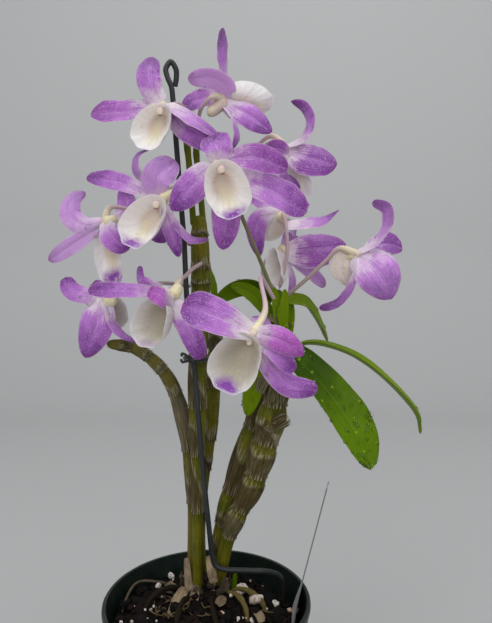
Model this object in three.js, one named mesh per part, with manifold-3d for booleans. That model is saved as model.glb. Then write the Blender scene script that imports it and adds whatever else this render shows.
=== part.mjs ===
// A small potted dendrobium orchid in flower: a plastic nursery pot of bark mix, five jointed
// canes on one rhizome, seven leaves, twelve blooms, a wire stake with its twist tie, and a
// blank plant label. Millimetres, +Z up, +Y to the back, the origin at the centre of the pot's base.

import * as THREE from "three";
import { mergeVertices } from "three/addons/utils/BufferGeometryUtils.js";
import Module from "manifold-3d";

const wasm = await Module();
wasm.setup();

// ---------- driving dimensions ----------

const SEAT_GAP = 0.3; // clearance between two pieces that touch
const POT = { rimRadius: 32.5, baseRadius: 23, height: 60, wall: 1.3, floor: 1.6, sides: 28 };
const COLLAR = { height: 9, step: 1.4 }; // the thicker band under the rim
const DRAIN = { count: 5, radius: 3, circle: 14, sides: 8 };
const MIX = { level: 52, lumps: 0.77, slope: -0.05, rings: 4, sides: 18, chips: 12, seed: 4 };
const MOUND = { height: 4, at: [1, 10], spread: 12.6 }; // the rise of the mix round the canes' feet
const PETAL = { thick: 0.8, steps: 5, cup: 0.2, peak: 0.6, round: 0.9, claw: 0.2 };
const SEPAL = { thick: 0.8, steps: 4, cup: -0.22, peak: 0.48, round: 1.25, claw: 0.28 };
const LEAF = { thick: 0.9, steps: 8, cup: 0.3, peak: 0.5, round: 0.95, claw: 0.4 };
const LIP = { thick: 0.8, steps: 5, across: 4, baseArc: 4.2, tipArc: 1.4, widest: 0.6 };
const JOINT = { radius: 1.9, start: 1.2 }; // the blades start just inside the bloom's round joint
const COLUMN = { length: 5, radius: 1.2, sides: 5 };
const CHIN = { rootRadius: 2.3, tipRadius: 1.1, sides: 6 }; // the blunt spur behind each bloom
const STALK = { radius: 0.85, ovaryRadius: 1.3, sides: 5, steps: 4 };
const WIRE = { radius: 0.85, sides: 6, steps: 44 };
const TIE = { radius: 0.5, tall: 0.65, sides: 5, steps: 20, endSteps: 3 };
const LABEL = {
  width: 13, thick: 0.7, length: 54, steps: 8,
  foot: [24.6, 1.6, 42],
  lean: 14.6, // degrees to the right
  turn: [4, -10], // degrees about the strip's length, at the foot and at the top
};

// ---------- vectors and random numbers ----------

const vec = ([x, y, z]) => new THREE.Vector3(x, y, z);
const lerp = THREE.MathUtils.lerp;
const smooth = (x) => THREE.MathUtils.smoothstep(x, 0, 1);

/** A repeatable random number source between 0 and 1. */
function seeded(seed) {
  let state = seed;
  return () => {
    state = (state * 16807) % 2147483647;
    return state / 2147483647;
  };
}

/** The part of v that is square to the unit vector along, as a unit vector. */
function squareTo(v, along) {
  return v.clone().addScaledVector(along, -v.dot(along)).normalize();
}

// ---------- solids ----------

/** Closes a row of even rings into one skin, with both ends capped straight across. */
function skin(rings) {
  const n = rings[0].length;
  const points = rings.flat();
  const triangles = [];
  for (let r = 0; r < rings.length - 1; r++)
    for (let j = 0; j < n; j++) {
      const [a, b] = [r * n + j, r * n + ((j + 1) % n)];
      const [c, d] = [a + n, b + n];
      // the lower half is split the other way, so that a thin blade's two faces match
      if (j < n / 2) triangles.push(a, b, d, a, d, c);
      else triangles.push(a, b, c, b, d, c);
    }
  const last = (rings.length - 1) * n;
  for (let j = 0; j < n / 2 - 1; j++) {
    const [a, b, c, d] = [j, j + 1, n - 2 - j, n - 1 - j];
    triangles.push(a, d, c, last + a, last + c, last + d);
    if (b !== c) triangles.push(a, c, b, last + a, last + b, last + c);
  }
  const geometry = new THREE.BufferGeometry().setFromPoints(points);
  geometry.setIndex(triangles);
  return solid(geometry);
}

/** A closed geometry as a manifold solid that faces outwards. */
function solid(geometry) {
  const bare = new THREE.BufferGeometry();
  bare.setAttribute("position", geometry.getAttribute("position"));
  bare.setIndex(geometry.index);
  if (!bare.index) bare.setIndex(Array.from({ length: bare.attributes.position.count }, (_, i) => i));
  const merged = mergeVertices(bare, 1e-4);
  const triVerts = new Uint32Array(merged.index.array);
  const vertProperties = new Float32Array(merged.attributes.position.array);
  const made = new wasm.Manifold(new wasm.Mesh({ numProp: 3, vertProperties, triVerts }));
  if (made.volume() > 0) return made;
  return new wasm.Manifold(new wasm.Mesh({ numProp: 3, vertProperties, triVerts: triVerts.reverse() }));
}

const fuse = (solids) => solids.reduce((whole, piece) => whole.add(piece));

/** A named mesh of a solid in one material. Loose scraps are dropped. */
function mesh(name, made, material) {
  const body = made.decompose().sort((a, b) => b.volume() - a.volume())[0];
  const { vertProperties, triVerts } = body.getMesh();
  const geometry = new THREE.BufferGeometry();
  geometry.setAttribute("position", new THREE.BufferAttribute(vertProperties, 3));
  geometry.setIndex(new THREE.BufferAttribute(triVerts, 1));
  geometry.computeVertexNormals();
  const named = new THREE.Mesh(geometry, material);
  named.name = name;
  return named;
}

/** Frames along a curve, without twist: the point, the tangent, the face normal and the side. */
function framesAlong(curve, steps, normal, fromTip = false) {
  const shares = Array.from({ length: steps + 1 }, (_, i) => i / steps);
  if (fromTip) shares.reverse();
  let face = normal;
  const frames = shares.map((u) => {
    const tangent = curve.getTangent(u);
    face = squareTo(face, tangent);
    return { u, at: curve.getPoint(u), tangent, face, side: tangent.clone().cross(face) };
  });
  return fromTip ? frames.reverse() : frames;
}

/** A tube along a path of points, its radius given at each share of the way. */
function tube(points, radius, steps, sides) {
  const curve = new THREE.CatmullRomCurve3(points.map(vec), false, "centripetal");
  const start = Math.abs(curve.getTangent(0).z) > 0.7 ? [1, 0, 0] : [0, 0, 1];
  return skin(
    framesAlong(curve, steps, vec(start)).map(({ u, at, face, side }) =>
      Array.from({ length: sides }, (_, j) => {
        const turn = (2 * Math.PI * j) / sides;
        return at
          .clone()
          .addScaledVector(side, radius(u) * Math.cos(turn))
          .addScaledVector(face, radius(u) * Math.sin(turn));
      }),
    ),
  );
}

/** A ball of few faces. */
const ball = (at, radius, detail) => solid(new THREE.IcosahedronGeometry(radius, detail).translate(...at));

// ---------- petals, sepals, leaves and lips ----------

/** The curve that passes mid halfway and ends at tip, both given from base, and starts a little way out. */
function archThrough(from, [mx, my, mz, tx, ty, tz], start) {
  const mid = from.clone().add(vec([mx, my, mz]));
  const tip = from.clone().add(vec([tx, ty, tz]));
  const base = from.clone().addScaledVector(mid.clone().sub(from).normalize(), start);
  const control = mid.clone().multiplyScalar(2).addScaledVector(base, -0.5).addScaledVector(tip, -0.5);
  return new THREE.QuadraticBezierCurve3(base, control, tip);
}

/**
 * A petal, sepal or leaf as a thin closed blade. Its half width is a bump that peaks at form.peak,
 * on a claw that narrows from the base, and its edges rise towards the face by form.cup.
 */
function blade(from, shape, face, form, start = 0) {
  const [width, roll = 0, turn = 0] = shape.slice(6);
  const curve = archThrough(from, shape, start);
  const rise = form.peak * form.round;
  const fall = (1 - form.peak) * form.round;
  const rings = framesAlong(curve, form.steps, face).map(({ u, at, tangent, face: up, side }) => {
    const bump = (u / form.peak) ** rise * ((1 - u) / (1 - form.peak)) ** fall;
    const half = (width / 2) * (bump * (1 - form.claw * (1 - u)) + form.claw * (1 - u)) * 0.97 + 0.35;
    const twist = THREE.MathUtils.degToRad(roll + turn * u);
    const across = side.clone().applyAxisAngle(tangent, twist);
    const out = up.clone().applyAxisAngle(tangent, twist);
    const row = (offset, shares) =>
      shares.map((s) =>
        at.clone().addScaledVector(across, half * s).addScaledVector(out, half * form.cup * s * s + offset),
      );
    return [...row(form.thick / 2, [-1, 0, 1]), ...row(-form.thick / 2, [1, 0, -1])];
  });
  return skin(rings);
}

/**
 * The lip: its section is an arc round the column at the base, a half-open tube, which opens
 * out to a shallow spoon with a round end.
 */
function lip(from, shape, face) {
  const [width, roll = 0] = shape.slice(6);
  const curve = archThrough(from, shape, JOINT.start);
  const shares = Array.from({ length: LIP.across + 1 }, (_, i) => (2 * i) / LIP.across - 1);
  const rings = framesAlong(curve, LIP.steps, face, true).map(({ u, at, tangent, face: up, side }) => {
    const end = Math.max(0, (u - LIP.widest) / (1 - LIP.widest));
    const spread =
      u < LIP.widest ? 0.4 + 0.6 * smooth(u / LIP.widest) : 0.2 + 0.8 * Math.sqrt(1 - end * end);
    const arc = lerp(LIP.baseArc, LIP.tipArc, smooth(Math.min(1, u * 1.25)));
    const radius = (width * spread) / arc;
    const twist = THREE.MathUtils.degToRad(roll);
    const across = side.clone().applyAxisAngle(tangent, twist);
    const out = up.clone().applyAxisAngle(tangent, twist);
    const row = (offset, list) =>
      list.map((s) => {
        const angle = (s * arc) / 2;
        return at
          .clone()
          .addScaledVector(across, (radius - offset) * Math.sin(angle))
          .addScaledVector(out, radius - (radius - offset) * Math.cos(angle));
      });
    return [...row(LIP.thick / 2, shares), ...row(-LIP.thick / 2, [...shares].reverse())];
  });
  return skin(rings);
}

// ---------- blooms ----------
// Each bloom joins at a point, faces one way, and has its spur (chin), its stalk from the cane, and
// six blades from the joint: [middle x, y, z, tip x, y, z, width, roll, turn], the last two in degrees.

const BLOOMS = {
  bloom_01: {
    at: [-13, -8, 211.5], face: [-0.3, -0.9, -0.2], chin: [1, 5, -3],
    stalk: [[-7.6, 1.7, 209.6], [-6.5, -2, 212.5], [-9, -5, 213.2], [-12, -6, 212.5]],
    dorsal: [-3.2, -2, 8.5, -2.2, 2, 15, 8.2],
    petals: [[-10.5, -1, -1, -20.8, -2, -3, 8.3], [9, 1, -5, 18.5, 3, -10.5, 6.5]],
    sepals: [[7, -1, -6.5, 14, -1, -12.5, 7], [-2, 5, -5, -4, 9, -8.5, 7]],
    lip: [-3, -5, -5, -5.3, -6.5, -12.2, 13],
  },
  bloom_02: {
    at: [4.4, 2, 216.3], face: [0.7, 0.6, 0.1], chin: [-3.5, -2, -4.5],
    stalk: [[-3.05, 5.1, 209.5], [-2.2, 4, 213.5], [-0.6, 3, 216.2], [2.5, 2, 217]],
    dorsal: [1.2, 2, 12, 0.2, 0, 23, 6, -8, -12],
    petals: [[-4, -3, 6.5, -10.8, -6, 4.5, 7.5], [8.3, -1, -5.6, 15.3, 2, -10.5, 7.5]],
    sepals: [[-5.4, -1, 0, -12, -2, -2.3, 6.2], [6.5, -1, -8.5, 3.8, -1, -15.5, 4]],
    lip: [8.9, 4, 4, 15.9, 7, -2, 9.2],
  },
  bloom_03: {
    at: [24.7, 8, 205.4], face: [0.55, 0.6, -0.3], chin: [-4.5, -1, -3.5],
    stalk: [[-1.7, 7.9, 196.5], [7, 10, 199], [15, 10, 202], [20.7, 9, 205.6]],
    dorsal: [7.2, 0, 8, 3, 0, 13.5, 4.5],
    petals: [[-4, -4, 0, -8.5, -5, -3, 6.5], [8.5, -1, -3, 17, 1, -7.5, 11.5]],
    sepals: [[-1, 5, -2, -3, 9, -6, 6.5], [4, 5, -5, 5, 8, -11, 6.5]],
    lip: [4, 1.5, -8.5, 8.5, 3, -17, 8.5],
  },
  bloom_04: {
    at: [5, -20, 189.8], face: [0.05, -1, -0.1], chin: [1, 5, -3],
    stalk: [[19.9, 0.9, 155], [16, -4, 167], [11.3, -9, 177.5], [7.5, -14, 186]],
    dorsal: [-2.5, 0, 6, -8, -1, 11, 7],
    petals: [[-7.3, -1, -5, -11.8, 1, -12, 7.2], [9.5, -1, 2, 18.5, 1, 0, 8.5]],
    sepals: [[1, 3, -12, 0.5, 2, -22, 8], [13, 1, -6.5, 23, 0, -12, 8]],
    lip: [2, -5, -5, 5.5, -6, -14, 12.5],
  },
  bloom_05: {
    at: [-10.6, -12, 184.8], face: [-0.5, -0.8, -0.15], chin: [3, 4, -3],
    stalk: [[-5.6, 0.95, 192], [-4.2, -3.5, 191.5], [-6.2, -7.5, 189.5], [-8.8, -10, 187]],
    dorsal: [-8.7, 2, 9.5, -6.7, 3, 13.6, 2.8, 40],
    petals: [[-13, -1, 2.2, -23, 0, 4, 6], [0.5, -2, 5, 3.5, -2, 9, 8.5]],
    sepals: [[4.5, 1, -10, 12.5, 1, -14, 5], [1, -2, -10, 4, -2, -19, 5.5]],
    lip: [-6.5, -3.5, -6.5, -12.5, -3, -16, 14],
  },
  bloom_06: {
    at: [-33.2, -2, 176], face: [-0.7, -0.3, -0.5], chin: [4, 2, 0.5],
    stalk: [[-7.3, 6, 171], [-14, 3, 178], [-24, 2, 182], [-31, -0.5, 181]],
    dorsal: [-10, 0, 3, -6, 1, 11, 6.5],
    petals: [[-7.5, 0, -5, -15.5, -1, -10.5, 5, 35], [3, -3, -5, 10, -3, -7.5, 7.5]],
    sepals: [[0, 5, -3, 1, 9, -8, 6.5], [-4, 6, 0, -7, 10, 2, 6]],
    lip: [2.5, -1, -9, 6, -1, -17.8, 10.5],
  },
  bloom_07: {
    at: [-29.6, -4, 153.5], face: [-0.4, 0.5, -0.4], chin: [4.5, 0, -4],
    stalk: [[-7.2, 6, 158], [-14, 4, 159], [-22, 1, 158], [-27.5, -2, 156]],
    dorsal: [-9, 0, 0.5, -12.5, -1, 7.5, 7],
    petals: [[-4, 6, 1, -8, 11, 0, 7], [2.5, 0, -8, 7, 0, -12.5, 4]],
    sepals: [[-3.2, -2, -8, -6.8, -1, -18, 10.5], [2, 6, -2, 3, 11, -6, 6]],
    lip: [-1, 4, -3, -3, 7, -10, 10],
  },
  bloom_08: {
    at: [-9.5, -16, 155.4], face: [-0.55, -0.75, -0.3], chin: [4.5, 1.5, 1],
    stalk: [[-1.5, 1.6, 165.5], [-4.8, -4.5, 162.5], [-6.3, -9, 160], [-7.5, -13, 157.5]],
    dorsal: [-5.7, -3, 2.5, -8.2, -4, 7.4, 3],
    petals: [[-12, -3, 0.5, -23, -4, 0, 4.6], [-3, -5, -0.5, -3.5, -7, -5, 6.5]],
    sepals: [[-4, 3, -6, -6, 5, -12, 7], [4.5, -1, -9, 9.5, -2, -18.5, 8]],
    lip: [-4.2, -4, -7, -6.5, -3, -15, 13.5],
  },
  bloom_09: {
    at: [15.4, -28, 144], face: [-0.45, -0.85, -0.3], chin: [1.5, 4, 3.5],
    stalk: [[20.6, -0.3, 153], [17, -7.5, 160], [16.5, -15, 158.5], [17.5, -22, 150]],
    dorsal: [2, 4, 4, 3, 9, 6, 6],
    petals: [[-9.5, -2, 4, -19.5, -1, 8, 10], [5.5, -3, -3, 11.5, -4, -8.5, 8]],
    sepals: [[6.5, 1, -7.5, 10.5, 1, -11, 5], [5.5, 0, -11, 16, -1, -14.5, 7]],
    lip: [-4.5, -3.5, -6.8, -9, -3, -14.6, 13.8],
  },
  bloom_10: {
    at: [24.3, 2, 180.7], face: [0.1, 0.9, -0.3], chin: [-3, -1.5, -3],
    stalk: [[23.5, 0.4, 159], [25, -1.2, 168], [24.8, -1.6, 175], [24.4, 0, 180]],
    dorsal: [4, 1, 6.5, 2.5, 2, 13.5, 6.5],
    petals: [[-6, 0, 7.5, -11.5, 0, 12, 8], [8.5, -1, -2.8, 17, -1, 0, 3.8]],
    sepals: [[-5, -1, -6, -8.5, 0, -13, 8], [4, 5, -1, 6, 10, -2, 6.5]],
    lip: [0, 6, -1, -1, 9, -8, 10.5],
  },
  bloom_11: {
    at: [20.7, 6, 169], face: [0.5, 0.6, -0.4], chin: [-3.5, -1, -2],
    stalk: [[20, 3.6, 157.8], [17.6, 3, 162.5], [17.2, 3.2, 167], [18.8, 4.5, 169.8]],
    dorsal: [-3, 5, 4, -5, 10, 5, 6],
    petals: [[12.5, 0, 2.3, 24, 1, 0.5, 10], [3, 6, 3, 5, 11, 3, 7]],
    sepals: [[6.5, -1, -8.5, 7, -6, -17, 5], [-3, 4.5, -4, -6, 8, -8, 6.5]],
    lip: [9, 4.5, -5, 16, 6, -11.5, 8.5],
  },
  bloom_12: {
    at: [43.8, -6, 167.8], face: [0.75, 0.4, -0.2], chin: [-4.8, 0, -3.2],
    stalk: [[25.2, 0.9, 154.5], [32, -2, 160.5], [38.5, -4, 167.5], [42, -5, 169.6]],
    dorsal: [10.5, -0.5, 8, 8, -0.5, 15, 4.4],
    petals: [[10, 5, 2, 16, 6, 2.5, 7], [6.5, -2, -6, 11.8, -1, -14.5, 9.8]],
    sepals: [[0, -3, -11, -9.5, -3, -18, 4.2], [4, 6, -5, 6, 9, -10, 6.5]],
    lip: [8, 4, -2.5, 13, 5, -9, 10],
  },
};

/** One bloom: its stalk and ovary, spur, column, three sepals, two petals and lip, fused. */
function bloom({ at, face, chin, stalk, dorsal, petals, sepals, lip: lipShape }) {
  const joint = vec(at);
  const front = vec(face).normalize();
  const away = (v, length) => joint.clone().addScaledVector(v, length).toArray();
  const swell = (u) => lerp(STALK.radius, STALK.ovaryRadius, smooth((u - 0.6) / 0.4));
  const tip = joint.clone().add(vec(chin)).toArray();
  return fuse([
    ball(at, JOINT.radius, 0),
    tube([...stalk, at], swell, STALK.steps, STALK.sides),
    tube([at, tip], (u) => lerp(CHIN.rootRadius, CHIN.tipRadius, u), 1, CHIN.sides),
    tube([at, away(front, COLUMN.length)], () => COLUMN.radius, 1, COLUMN.sides),
    ...[dorsal, ...sepals].map((shape) => blade(joint, shape, front, SEPAL, JOINT.start)),
    ...petals.map((shape) => blade(joint, shape, front, PETAL, JOINT.start)),
    lip(joint, lipShape, front),
  ]);
}

// ---------- canes ----------
// A cane is a path of [x, y, z, diameter]. Between its joints (nodes, as shares of its length) it
// swells, at each joint it pinches, and the dry sheath of the joint below ends in a small step.

const CANES = {
  cane_bent: {
    path: [
      [-6.6, 15, 55, 3.2], [-6.2, 15, 81, 3.6], [-7.4, 14, 101, 4.2], [-9.2, 12, 114, 5],
      [-12.7, 9, 126, 4.4], [-17, 5, 133, 4], [-23, 2, 138, 3.7], [-31.5, -1, 140, 2.6],
    ],
    nodes: [0.16, 0.36, 0.52, 0.66, 0.78, 0.9],
  },
  cane_tall: {
    path: [
      [-4.1, 10, 55, 3.5], [-4.1, 9.5, 80, 3.6], [-4, 8.5, 104, 4.9], [-3.9, 8, 120, 6.2],
      [-3.6, 7.5, 133, 6.2], [-2.8, 6.5, 147, 6.4], [-2.5, 6, 160, 6.8], [-2.7, 5, 172, 6.8], [-3, 5, 181, 5.4],
    ],
    nodes: [0.17, 0.35, 0.52, 0.68, 0.82, 0.93],
  },
  cane_slender: {
    path: [
      [-3.4, 20, 54, 3], [-3.8, 20.5, 69, 3], [-3.4, 20.5, 83, 3.4], [-1.9, 20.5, 97, 4.4],
      [-0.2, 20, 111, 5.8], [0.6, 20, 125, 6.2], [1.6, 19.5, 138, 5.6], [0.9, 19, 153, 3.2],
    ],
    nodes: [0.2, 0.42, 0.63, 0.84],
  },
  cane_stout: {
    path: [
      [1, 17, 55, 3], [2.1, 17, 66, 3.8], [4.9, 16.5, 79, 6], [9.2, 15.5, 93, 7.2],
      [13.6, 14.5, 105.5, 7.8], [17, 13.5, 117, 7], [19, 12.5, 125, 4.4],
    ],
    nodes: [0.16, 0.36, 0.56, 0.76],
  },
  cane_leafy: {
    path: [
      [3.3, 12, 57, 3.2], [5.2, 11, 70, 4.2], [9.2, 9.5, 82, 6], [14.2, 8, 92.5, 7.2], [17.7, 6, 104.5, 8],
      [20.6, 4, 116, 8.8], [22.1, 2.5, 126, 7.2], [22.9, 1.5, 134, 4.4], [23.9, 1, 141, 4.8],
      [23.3, 1.5, 149, 4.2], [22.4, 2, 157, 2.6],
    ],
    nodes: [0.12, 0.25, 0.38, 0.51, 0.63, 0.73],
  },
};
const CANE = { sides: 7, stepsPerNode: 4, swell: 0.1, pinch: 0.14, step: 0.09, sheath: [0.12, 0.6] };

/** The cane's radius as a function of the share of its length. */
function caneRadius(path, nodes) {
  const spans = path.length - 1;
  const ends = [0, ...nodes, 1];
  return (u) => {
    const i = Math.min(spans - 1, Math.floor(u * spans));
    const width = lerp(path[i][3], path[i + 1][3], u * spans - i);
    const k = Math.max(1, ends.findIndex((end, index) => index > 0 && u <= end));
    const share = (u - ends[k - 1]) / (ends[k] - ends[k - 1]);
    const swelling = CANE.swell * Math.sin(Math.PI * share);
    const pinch = CANE.pinch * Math.max(0, 1 - share * 9);
    const sheath = share > CANE.sheath[0] && share < CANE.sheath[1] ? CANE.step : 0;
    return (width / 2) * (1 + swelling - pinch + sheath);
  };
}

/** A cane's body, grown all round by a clearance where it is to cut a pocket. */
function cane({ path, nodes }, grow = 0) {
  const radius = caneRadius(path, nodes);
  const steps = (nodes.length + 1) * CANE.stepsPerNode;
  return tube(path.map((p) => p.slice(0, 3)), (u) => radius(u) + grow, steps, CANE.sides);
}

// Bare flowering stalks at the top of the tall cane, and the small leaf on the slender cane's tip.
const SPIKES = [
  [[-4.6, 4, 177], [-5.4, 3.2, 188], [-6, 3.2, 197], [-6.8, 3, 204], [-7.6, 2.6, 208.4]],
  [[-1.6, 6, 177], [-2.6, 6.4, 188], [-3.6, 6.4, 197], [-4, 6.2, 203], [-3.1, 5.2, 209]],
];
const SPIKE = { radius: 1.25, steps: 5, sides: 6 };
const TIP_LEAF = { base: [0.9, 19, 152.4], face: [0.8, -0.6, 0], shape: [-0.5, 0.5, 6, -2.3, 2, 13.5, 3.6] };

// ---------- rhizome and roots ----------
// The crown is a chain of knobs, [x, y, z, radius], one under each cane, with roots over the mix.

const CROWN = [
  [-6.6, 15, 52.5, 3.4], [-4.1, 10, 53, 3.6], [3.3, 12, 54, 3.6], [1, 17, 52, 3.6], [-3.4, 20, 51.5, 3.4],
];
const CROWN_LINK = 2.2;
const ROOTS = [
  [[4, 11, 54], [9, 6, 57], [12, 1, 55.5], [13, -3, 49]],
  [[5, 13, 54], [12, 10, 56.5], [17, 7, 54.5], [20, 5, 48]],
  [[-7, 14, 54], [-14, 10, 57], [-19, 5, 56], [-22, 0, 49]],
  [[-5, 9, 54], [-8, 2, 57], [-9, -6, 55], [-9, -11, 48]],
  [[1, 9, 54], [1, 2, 57], [3, -6, 55], [6, -12, 48]],
];
const ROOT = { radius: 1.1, tipRadius: 0.7, steps: 4, sides: 5 };
const NEW_SHOOT = {
  path: [[3.3, 12, 54], [7.4, 12.3, 54.5], [8.3, 12, 58.5], [8.7, 11.8, 63]],
  radius: 1.6,
  tipRadius: 0.5,
};

/** The woody crown that joins the canes, with its surface roots and one new shoot, grown by a clearance. */
function crown(grow = 0) {
  const knobs = CROWN.map(([x, y, z, radius]) => ball([x, y, z], radius + grow, 0));
  const link = tube(CROWN.map((p) => p.slice(0, 3)), () => CROWN_LINK + grow, CROWN.length - 1, ROOT.sides);
  const taper = ({ radius, tipRadius }) => (u) => lerp(radius, tipRadius, u) + grow;
  const roots = ROOTS.map((path) => tube(path, taper(ROOT), ROOT.steps, ROOT.sides));
  return fuse([...knobs, link, ...roots, tube(NEW_SHOOT.path, taper(NEW_SHOOT), ROOT.steps, ROOT.sides)]);
}

// ---------- leaves ----------
// [base x, y, z], the way the upper face looks, then a blade from the base.

const LEAVES = {
  leaf_broad: [[25.7, -0.7, 136.2], [0.1, -0.75, 0.65], [13.8, -9.3, -13.5, 21.7, -15.3, -32.5, 15]],
  leaf_arching: [[26.9, 1.8, 139.8], [0, 0.1, 1], [22.6, -3, -4.8, 39.5, -6, -26.7, 7]],
  leaf_back_right: [[25.6, 2.8, 153], [0.2, -0.6, 0.75], [7, 4, -2.5, 13.5, 7, -12.5, 8]],
  leaf_back_left: [[20.6, 3.4, 149.5], [0.1, -0.35, 0.95], [-9.5, 5, 6.5, -18.5, 9, 2.5, 8.5]],
  leaf_under: [[19.6, 4.3, 134.5], [-0.6, -0.6, 0.4], [-4.7, 4, -10, -8, 4, -21.5, 8]],
  leaf_short: [[22.8, -2, 139.5], [-0.2, -0.8, 0.5], [-1.5, -2, 4, -4.5, -3.5, 7.5, 6]],
  leaf_small_left: [[20.4, 1.2, 144.5], [0, -0.3, 0.95], [-5.5, 2, 2.5, -11, 4.5, 2, 4.5]],
};

// ---------- stake, tie and label ----------

const STAKE = [
  [24.6, 9.5, 45], [24.6, 9.5, 56], [23.6, 9.2, 61.2], [20.5, 8.4, 63.2], [12, 6.6, 64.6], [5, 5.8, 65.4],
  [2.2, 5.6, 66.8], [1.2, 5.4, 70], [0.2, 4.8, 79], [-1.7, 3.7, 98.5], [-3.2, 2.7, 118], [-4.4, 2.1, 133.4],
  [-6.5, 1.2, 153.3], [-7.4, 1, 172.3], [-8.6, 0.5, 188], [-10.5, 0, 211], [-11.4, -0.1, 218],
  [-13.4, -0.2, 222.8], [-13.9, 0, 226.6], [-12, 0.4, 228.8],
  [-10, 1, 226.8], [-10, 1.8, 222.8], [-10.8, 2.3, 219.6],
];
const STAKE_FOOT_POINTS = 3; // the first points of the stake go down into the mix

/** A rod of one radius along a path of points. */
function rod(points, radius, steps) {
  const section = new THREE.Shape().absarc(0, 0, radius, 0, 2 * Math.PI);
  const extrudePath = new THREE.CatmullRomCurve3(points.map(vec), false, "centripetal");
  const settings = { steps, curveSegments: WIRE.sides / 2, bevelEnabled: false, extrudePath };
  return solid(new THREE.ExtrudeGeometry(section, settings));
}

// The tie's loop goes round the tall cane and the stake at one height: [x, y] and radius of each.
const TIED = { height: 134.4, cane: [[-3.6, 7.5], 3.75], wire: [[-4.4, 2.1], WIRE.radius] };

/** The twist tie: a flat loop round the tall cane and the stake, with two short curled ends. */
function twistTie() {
  const clear = SEAT_GAP + TIE.radius + 0.1;
  const [caneAt, caneWidth] = TIED.cane;
  const [wireAt, wireWidth] = TIED.wire;
  const [dx, dy] = [wireAt[0] - caneAt[0], wireAt[1] - caneAt[1]];
  const aim = Math.atan2(dy, dx);
  const lean = Math.acos((caneWidth - wireWidth) / Math.hypot(dx, dy));
  const loop = new THREE.Path();
  loop.absarc(...caneAt, caneWidth + clear, aim + lean, aim - lean + 2 * Math.PI, false);
  loop.absarc(...wireAt, wireWidth + clear, aim - lean, aim + lean, false);
  const around = loop.getSpacedPoints(TIE.steps).slice(0, TIE.steps);
  const rings = around.map(({ x, y }, i) => {
    const along = around[(i + 1) % TIE.steps].clone().sub(around.at(i - 1)).normalize();
    return Array.from({ length: TIE.sides }, (_, j) => {
      const turn = (2 * Math.PI * j) / TIE.sides;
      const out = TIE.radius * Math.cos(turn);
      return new THREE.Vector3(x + along.y * out, y - along.x * out, TIED.height + TIE.tall * Math.sin(turn));
    });
  });
  const [x, y, z] = [wireAt[0] - wireWidth - clear, wireAt[1] - 0.6, TIED.height];
  const ends = [
    [[x, y, z], [x - 0.6, y - 1, z + 1.4], [x - 1.9, y - 1.2, z + 1.8]],
    [[x, y, z], [x - 1.2, y - 1, z - 0.6], [x - 2.4, y - 0.8, z - 1.8]],
  ];
  return fuse([hoop(rings), ...ends.map((path) => tube(path, () => TIE.radius, TIE.endSteps, TIE.sides))]);
}

/** Joins a ring of rings into a closed hoop. */
function hoop(rings) {
  const n = rings[0].length;
  const triangles = [];
  rings.forEach((_, r) => {
    const next = (r + 1) % rings.length;
    for (let j = 0; j < n; j++) {
      const k = (j + 1) % n;
      triangles.push(r * n + j, r * n + k, next * n + k, r * n + j, next * n + k, next * n + j);
    }
  });
  const geometry = new THREE.BufferGeometry().setFromPoints(rings.flat());
  geometry.setIndex(triangles);
  return solid(geometry);
}

/** The label: a thin strip with a pointed foot, which leans to the right and turns a little as it rises. */
function label(grow = 0) {
  const lean = THREE.MathUtils.degToRad(LABEL.lean);
  const rise = vec([Math.sin(lean), 0, Math.cos(lean)]);
  const out = vec([Math.cos(lean), 0, -Math.sin(lean)]);
  const rings = Array.from({ length: LABEL.steps + 1 }, (_, i) => {
    const u = i / LABEL.steps;
    const half = (LABEL.width / 2) * Math.min(1, 0.2 + u * 3.5, 0.6 + (1 - u) * 20) + grow;
    const turn = THREE.MathUtils.degToRad(lerp(...LABEL.turn, u));
    const across = vec([-Math.sin(turn), Math.cos(turn), 0]);
    const at = vec(LABEL.foot).addScaledVector(rise, u * LABEL.length);
    return [[-1, 1], [1, 1], [1, -1], [-1, -1]].map(([s, face]) =>
      at.clone().addScaledVector(across, half * s).addScaledVector(out, (LABEL.thick / 2 + grow) * face),
    );
  });
  return skin(rings);
}

// ---------- pot and mix ----------

const taper = (POT.rimRadius - COLLAR.step - POT.baseRadius) / (POT.height - COLLAR.height);

/** The pot's outer wall radius at a height, without its collar. */
const wallAt = (z) => POT.baseRadius + taper * z;

/** The pot: a tapered wall with a collar band under the rim, a flat floor and drain holes. */
function pot() {
  const { rimRadius: rim, height, wall, floor } = POT;
  const low = height - COLLAR.height;
  const inner = wallAt(low) - wall;
  const outline = [
    [0, 0], [POT.baseRadius - 1, 0], [POT.baseRadius, 1], [wallAt(low - 0.4), low - 0.4],
    [rim - 1.1, low + 0.4], [rim - 0.6, height - 2], [rim, height - 1.4], [rim - 0.2, height], [rim - wall, height],
    [rim - wall - 0.5, low + 1.6], [inner, low - 0.6], [wallAt(floor) - wall, floor], [0, floor],
  ].map(([x, y]) => new THREE.Vector2(x, y));
  const shell = solid(new THREE.LatheGeometry(outline, POT.sides).rotateX(Math.PI / 2));
  const drains = Array.from({ length: DRAIN.count }, (_, i) => {
    const turn = (2 * Math.PI * i) / DRAIN.count + 0.3;
    const hole = new THREE.CylinderGeometry(DRAIN.radius, DRAIN.radius, 4 * floor, DRAIN.sides);
    hole.rotateX(Math.PI / 2).translate(DRAIN.circle * Math.cos(turn), DRAIN.circle * Math.sin(turn), 0);
    return solid(hole);
  });
  return shell.subtract(fuse(drains));
}

/** The mix's top: lumpy, a little low at the right, and mounded round the crown. */
function mixHeight(x, y) {
  const lump = Math.sin(x * 0.55 + 1) * Math.cos(y * 0.5) + 0.6 * Math.sin(x * 0.21 - y * 0.93);
  const away = Math.hypot(x - MOUND.at[0], y - MOUND.at[1]) / MOUND.spread;
  return MIX.level + MIX.lumps * lump + MIX.slope * x + MOUND.height * Math.exp(-away * away);
}

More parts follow.
